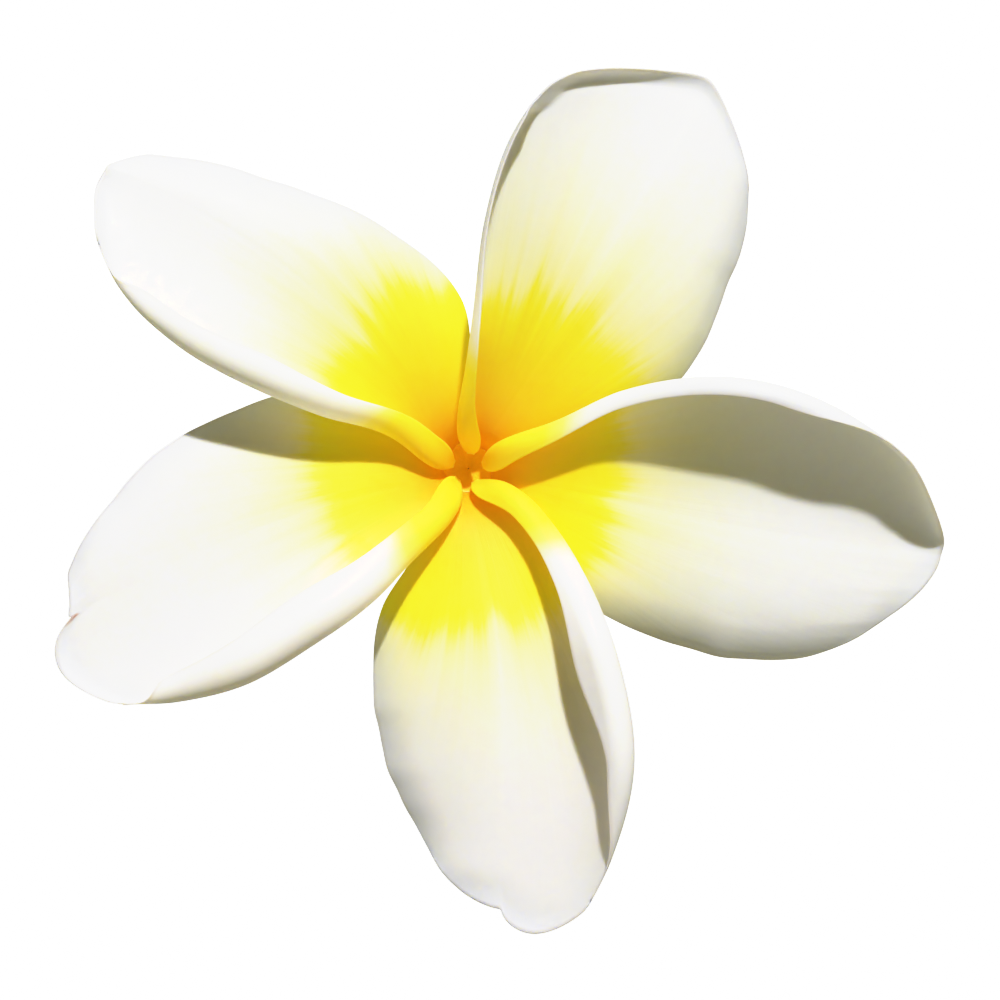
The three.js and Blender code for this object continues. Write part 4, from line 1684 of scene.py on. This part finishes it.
@dataclass
class Pistil:
    """The ovary, style and stigma that stand free inside the tube."""

    pose: LyingPose
    finish: PistilFinish = field(default_factory=PistilFinish)
    foot: float = -16.0
    top: float = -11.6
    cleft: float = 0.12

    def build(self) -> list[bpy.types.Object]:
        """Build and dress the pistil.

        Returns:
            The pieces.
        """
        line = smooth_line(
            (
                (0.6, self.foot), (0.85, self.foot + 0.5), (0.68, self.foot + 1.1), (0.37, self.foot + 1.7),
                (0.33, self.top - 2.0), (0.36, self.top - 1.4), (0.5, self.top - 1.0), (0.48, self.top - 0.5),
                (0.3, self.top - 0.15), (0.12, self.top - 0.02),
            ),
            6,
        )
        corners = [(0.0, self.foot), *map(tuple, line.tolist()), (0.0, self.top)]
        points, faces = turned_points(corners, 40)
        side = np.abs(points[:, 0]) / 0.5
        head = smooth((points[:, 2] - self.top + 0.6) / 0.6)
        points[:, 2] -= self.cleft * head * (1.0 - np.clip(side * 3.0, 0.0, 1.0)) ** 2
        piece = mesh_object("pistil_body", self.pose.place(points), faces)
        piece.data.materials.append(self.finish.build())
        settle(piece, Node.PISTIL)
        return [piece]


# ---- Studio ------------------------------------------------------------------------------------------


@dataclass
class Studio:
    """Camera, light and floor. The camera looks straight into the flower along its axis."""

    pose: LyingPose
    camera_place: tuple[float, float, float] = (2.82, -2.82, 244.7)
    lens: float = 100.0
    sensor: float = 36.0
    key_way: tuple[float, float, float] = (0.14, 0.69, 0.73)
    key_strength: float = 4.5
    key_angle: float = 2.6
    fill: float = 0.12
    fill_colour: RGB = (1.0, 1.0, 0.72)
    brightest: float = 1.8
    shoulder: tuple[tuple[float, float], ...] = (
        (0.4, 0.4), (0.8, 0.79), (1.0, 0.91), (1.25, 0.94), (1.5, 0.955), (1.6, 1.0),
    )
    clip_metres: tuple[float, float] = (0.01, 60.0)
    floor_metres: float = 36.0

    def build(self) -> None:
        """Set up the camera, the light and the floor."""
        scene = bpy.context.scene
        self.tone(scene)
        self.camera(scene)
        self.light(scene)
        self.floor(scene)
        LOG.info("studio ready")

    def tone(self, scene: bpy.types.Scene) -> None:
        """Ease the brightest light into white, as a camera does."""
        view = scene.view_settings
        view.view_transform = "Standard"
        view.use_curve_mapping = True
        mapping = view.curve_mapping
        mapping.white_level = (self.brightest, self.brightest, self.brightest)
        curve = mapping.curves[3]
        for light, shown in self.shoulder:
            curve.points.new(light / self.brightest, shown).handle_type = "VECTOR"
        mapping.update()

    def camera(self, scene: bpy.types.Scene) -> None:
        """Add the camera."""
        data = bpy.data.cameras.new("camera")
        data.lens = self.lens
        data.sensor_width = self.sensor
        data.clip_start, data.clip_end = self.clip_metres
        camera = bpy.data.objects.new("camera", data)
        scene.collection.objects.link(camera)
        camera.matrix_world = self.pose.rigid() @ Matrix.Translation(Vector(self.camera_place) * MM)
        scene.camera = camera

    def light(self, scene: bpy.types.Scene) -> None:
        """Add the key light and the soft surround."""
        data = bpy.data.lights.new("key", "SUN")
        data.energy = self.key_strength
        data.angle = math.radians(self.key_angle)
        key = bpy.data.objects.new("key", data)
        scene.collection.objects.link(key)
        way = self.pose.turn().to_3x3() @ Vector(self.key_way)
        key.rotation_euler = way.to_track_quat("Z", "Y").to_euler()
        world = bpy.data.worlds.new("surround")
        world.use_nodes = True
        background = world.node_tree.nodes["Background"]
        background.inputs["Color"].default_value = (*self.fill_colour, 1.0)
        background.inputs["Strength"].default_value = self.fill
        scene.world = world

    def floor(self, scene: bpy.types.Scene) -> None:
        """Add the floor just under the flower."""
        half = 0.5 * self.floor_metres
        corners = np.array([[-half, -half, 0.0], [half, -half, 0.0], [half, half, 0.0], [-half, half, 0.0]])
        corners[:, 2] = -self.pose.skin * MM
        piece = mesh_object("floor", corners, [(0, 1, 2, 3)])
        piece.data.materials.append(FloorFinish().build())


def main() -> None:
    """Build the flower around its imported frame."""
    logging.basicConfig(level=logging.INFO, format="%(name)s %(message)s")
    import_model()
    pose = LyingPose()
    Corolla(pose).build()
    CalyxAndStalk(pose).build()
    Pistil(pose).build()
    Studio(pose).build()


if __name__ == "__main__":
    main()
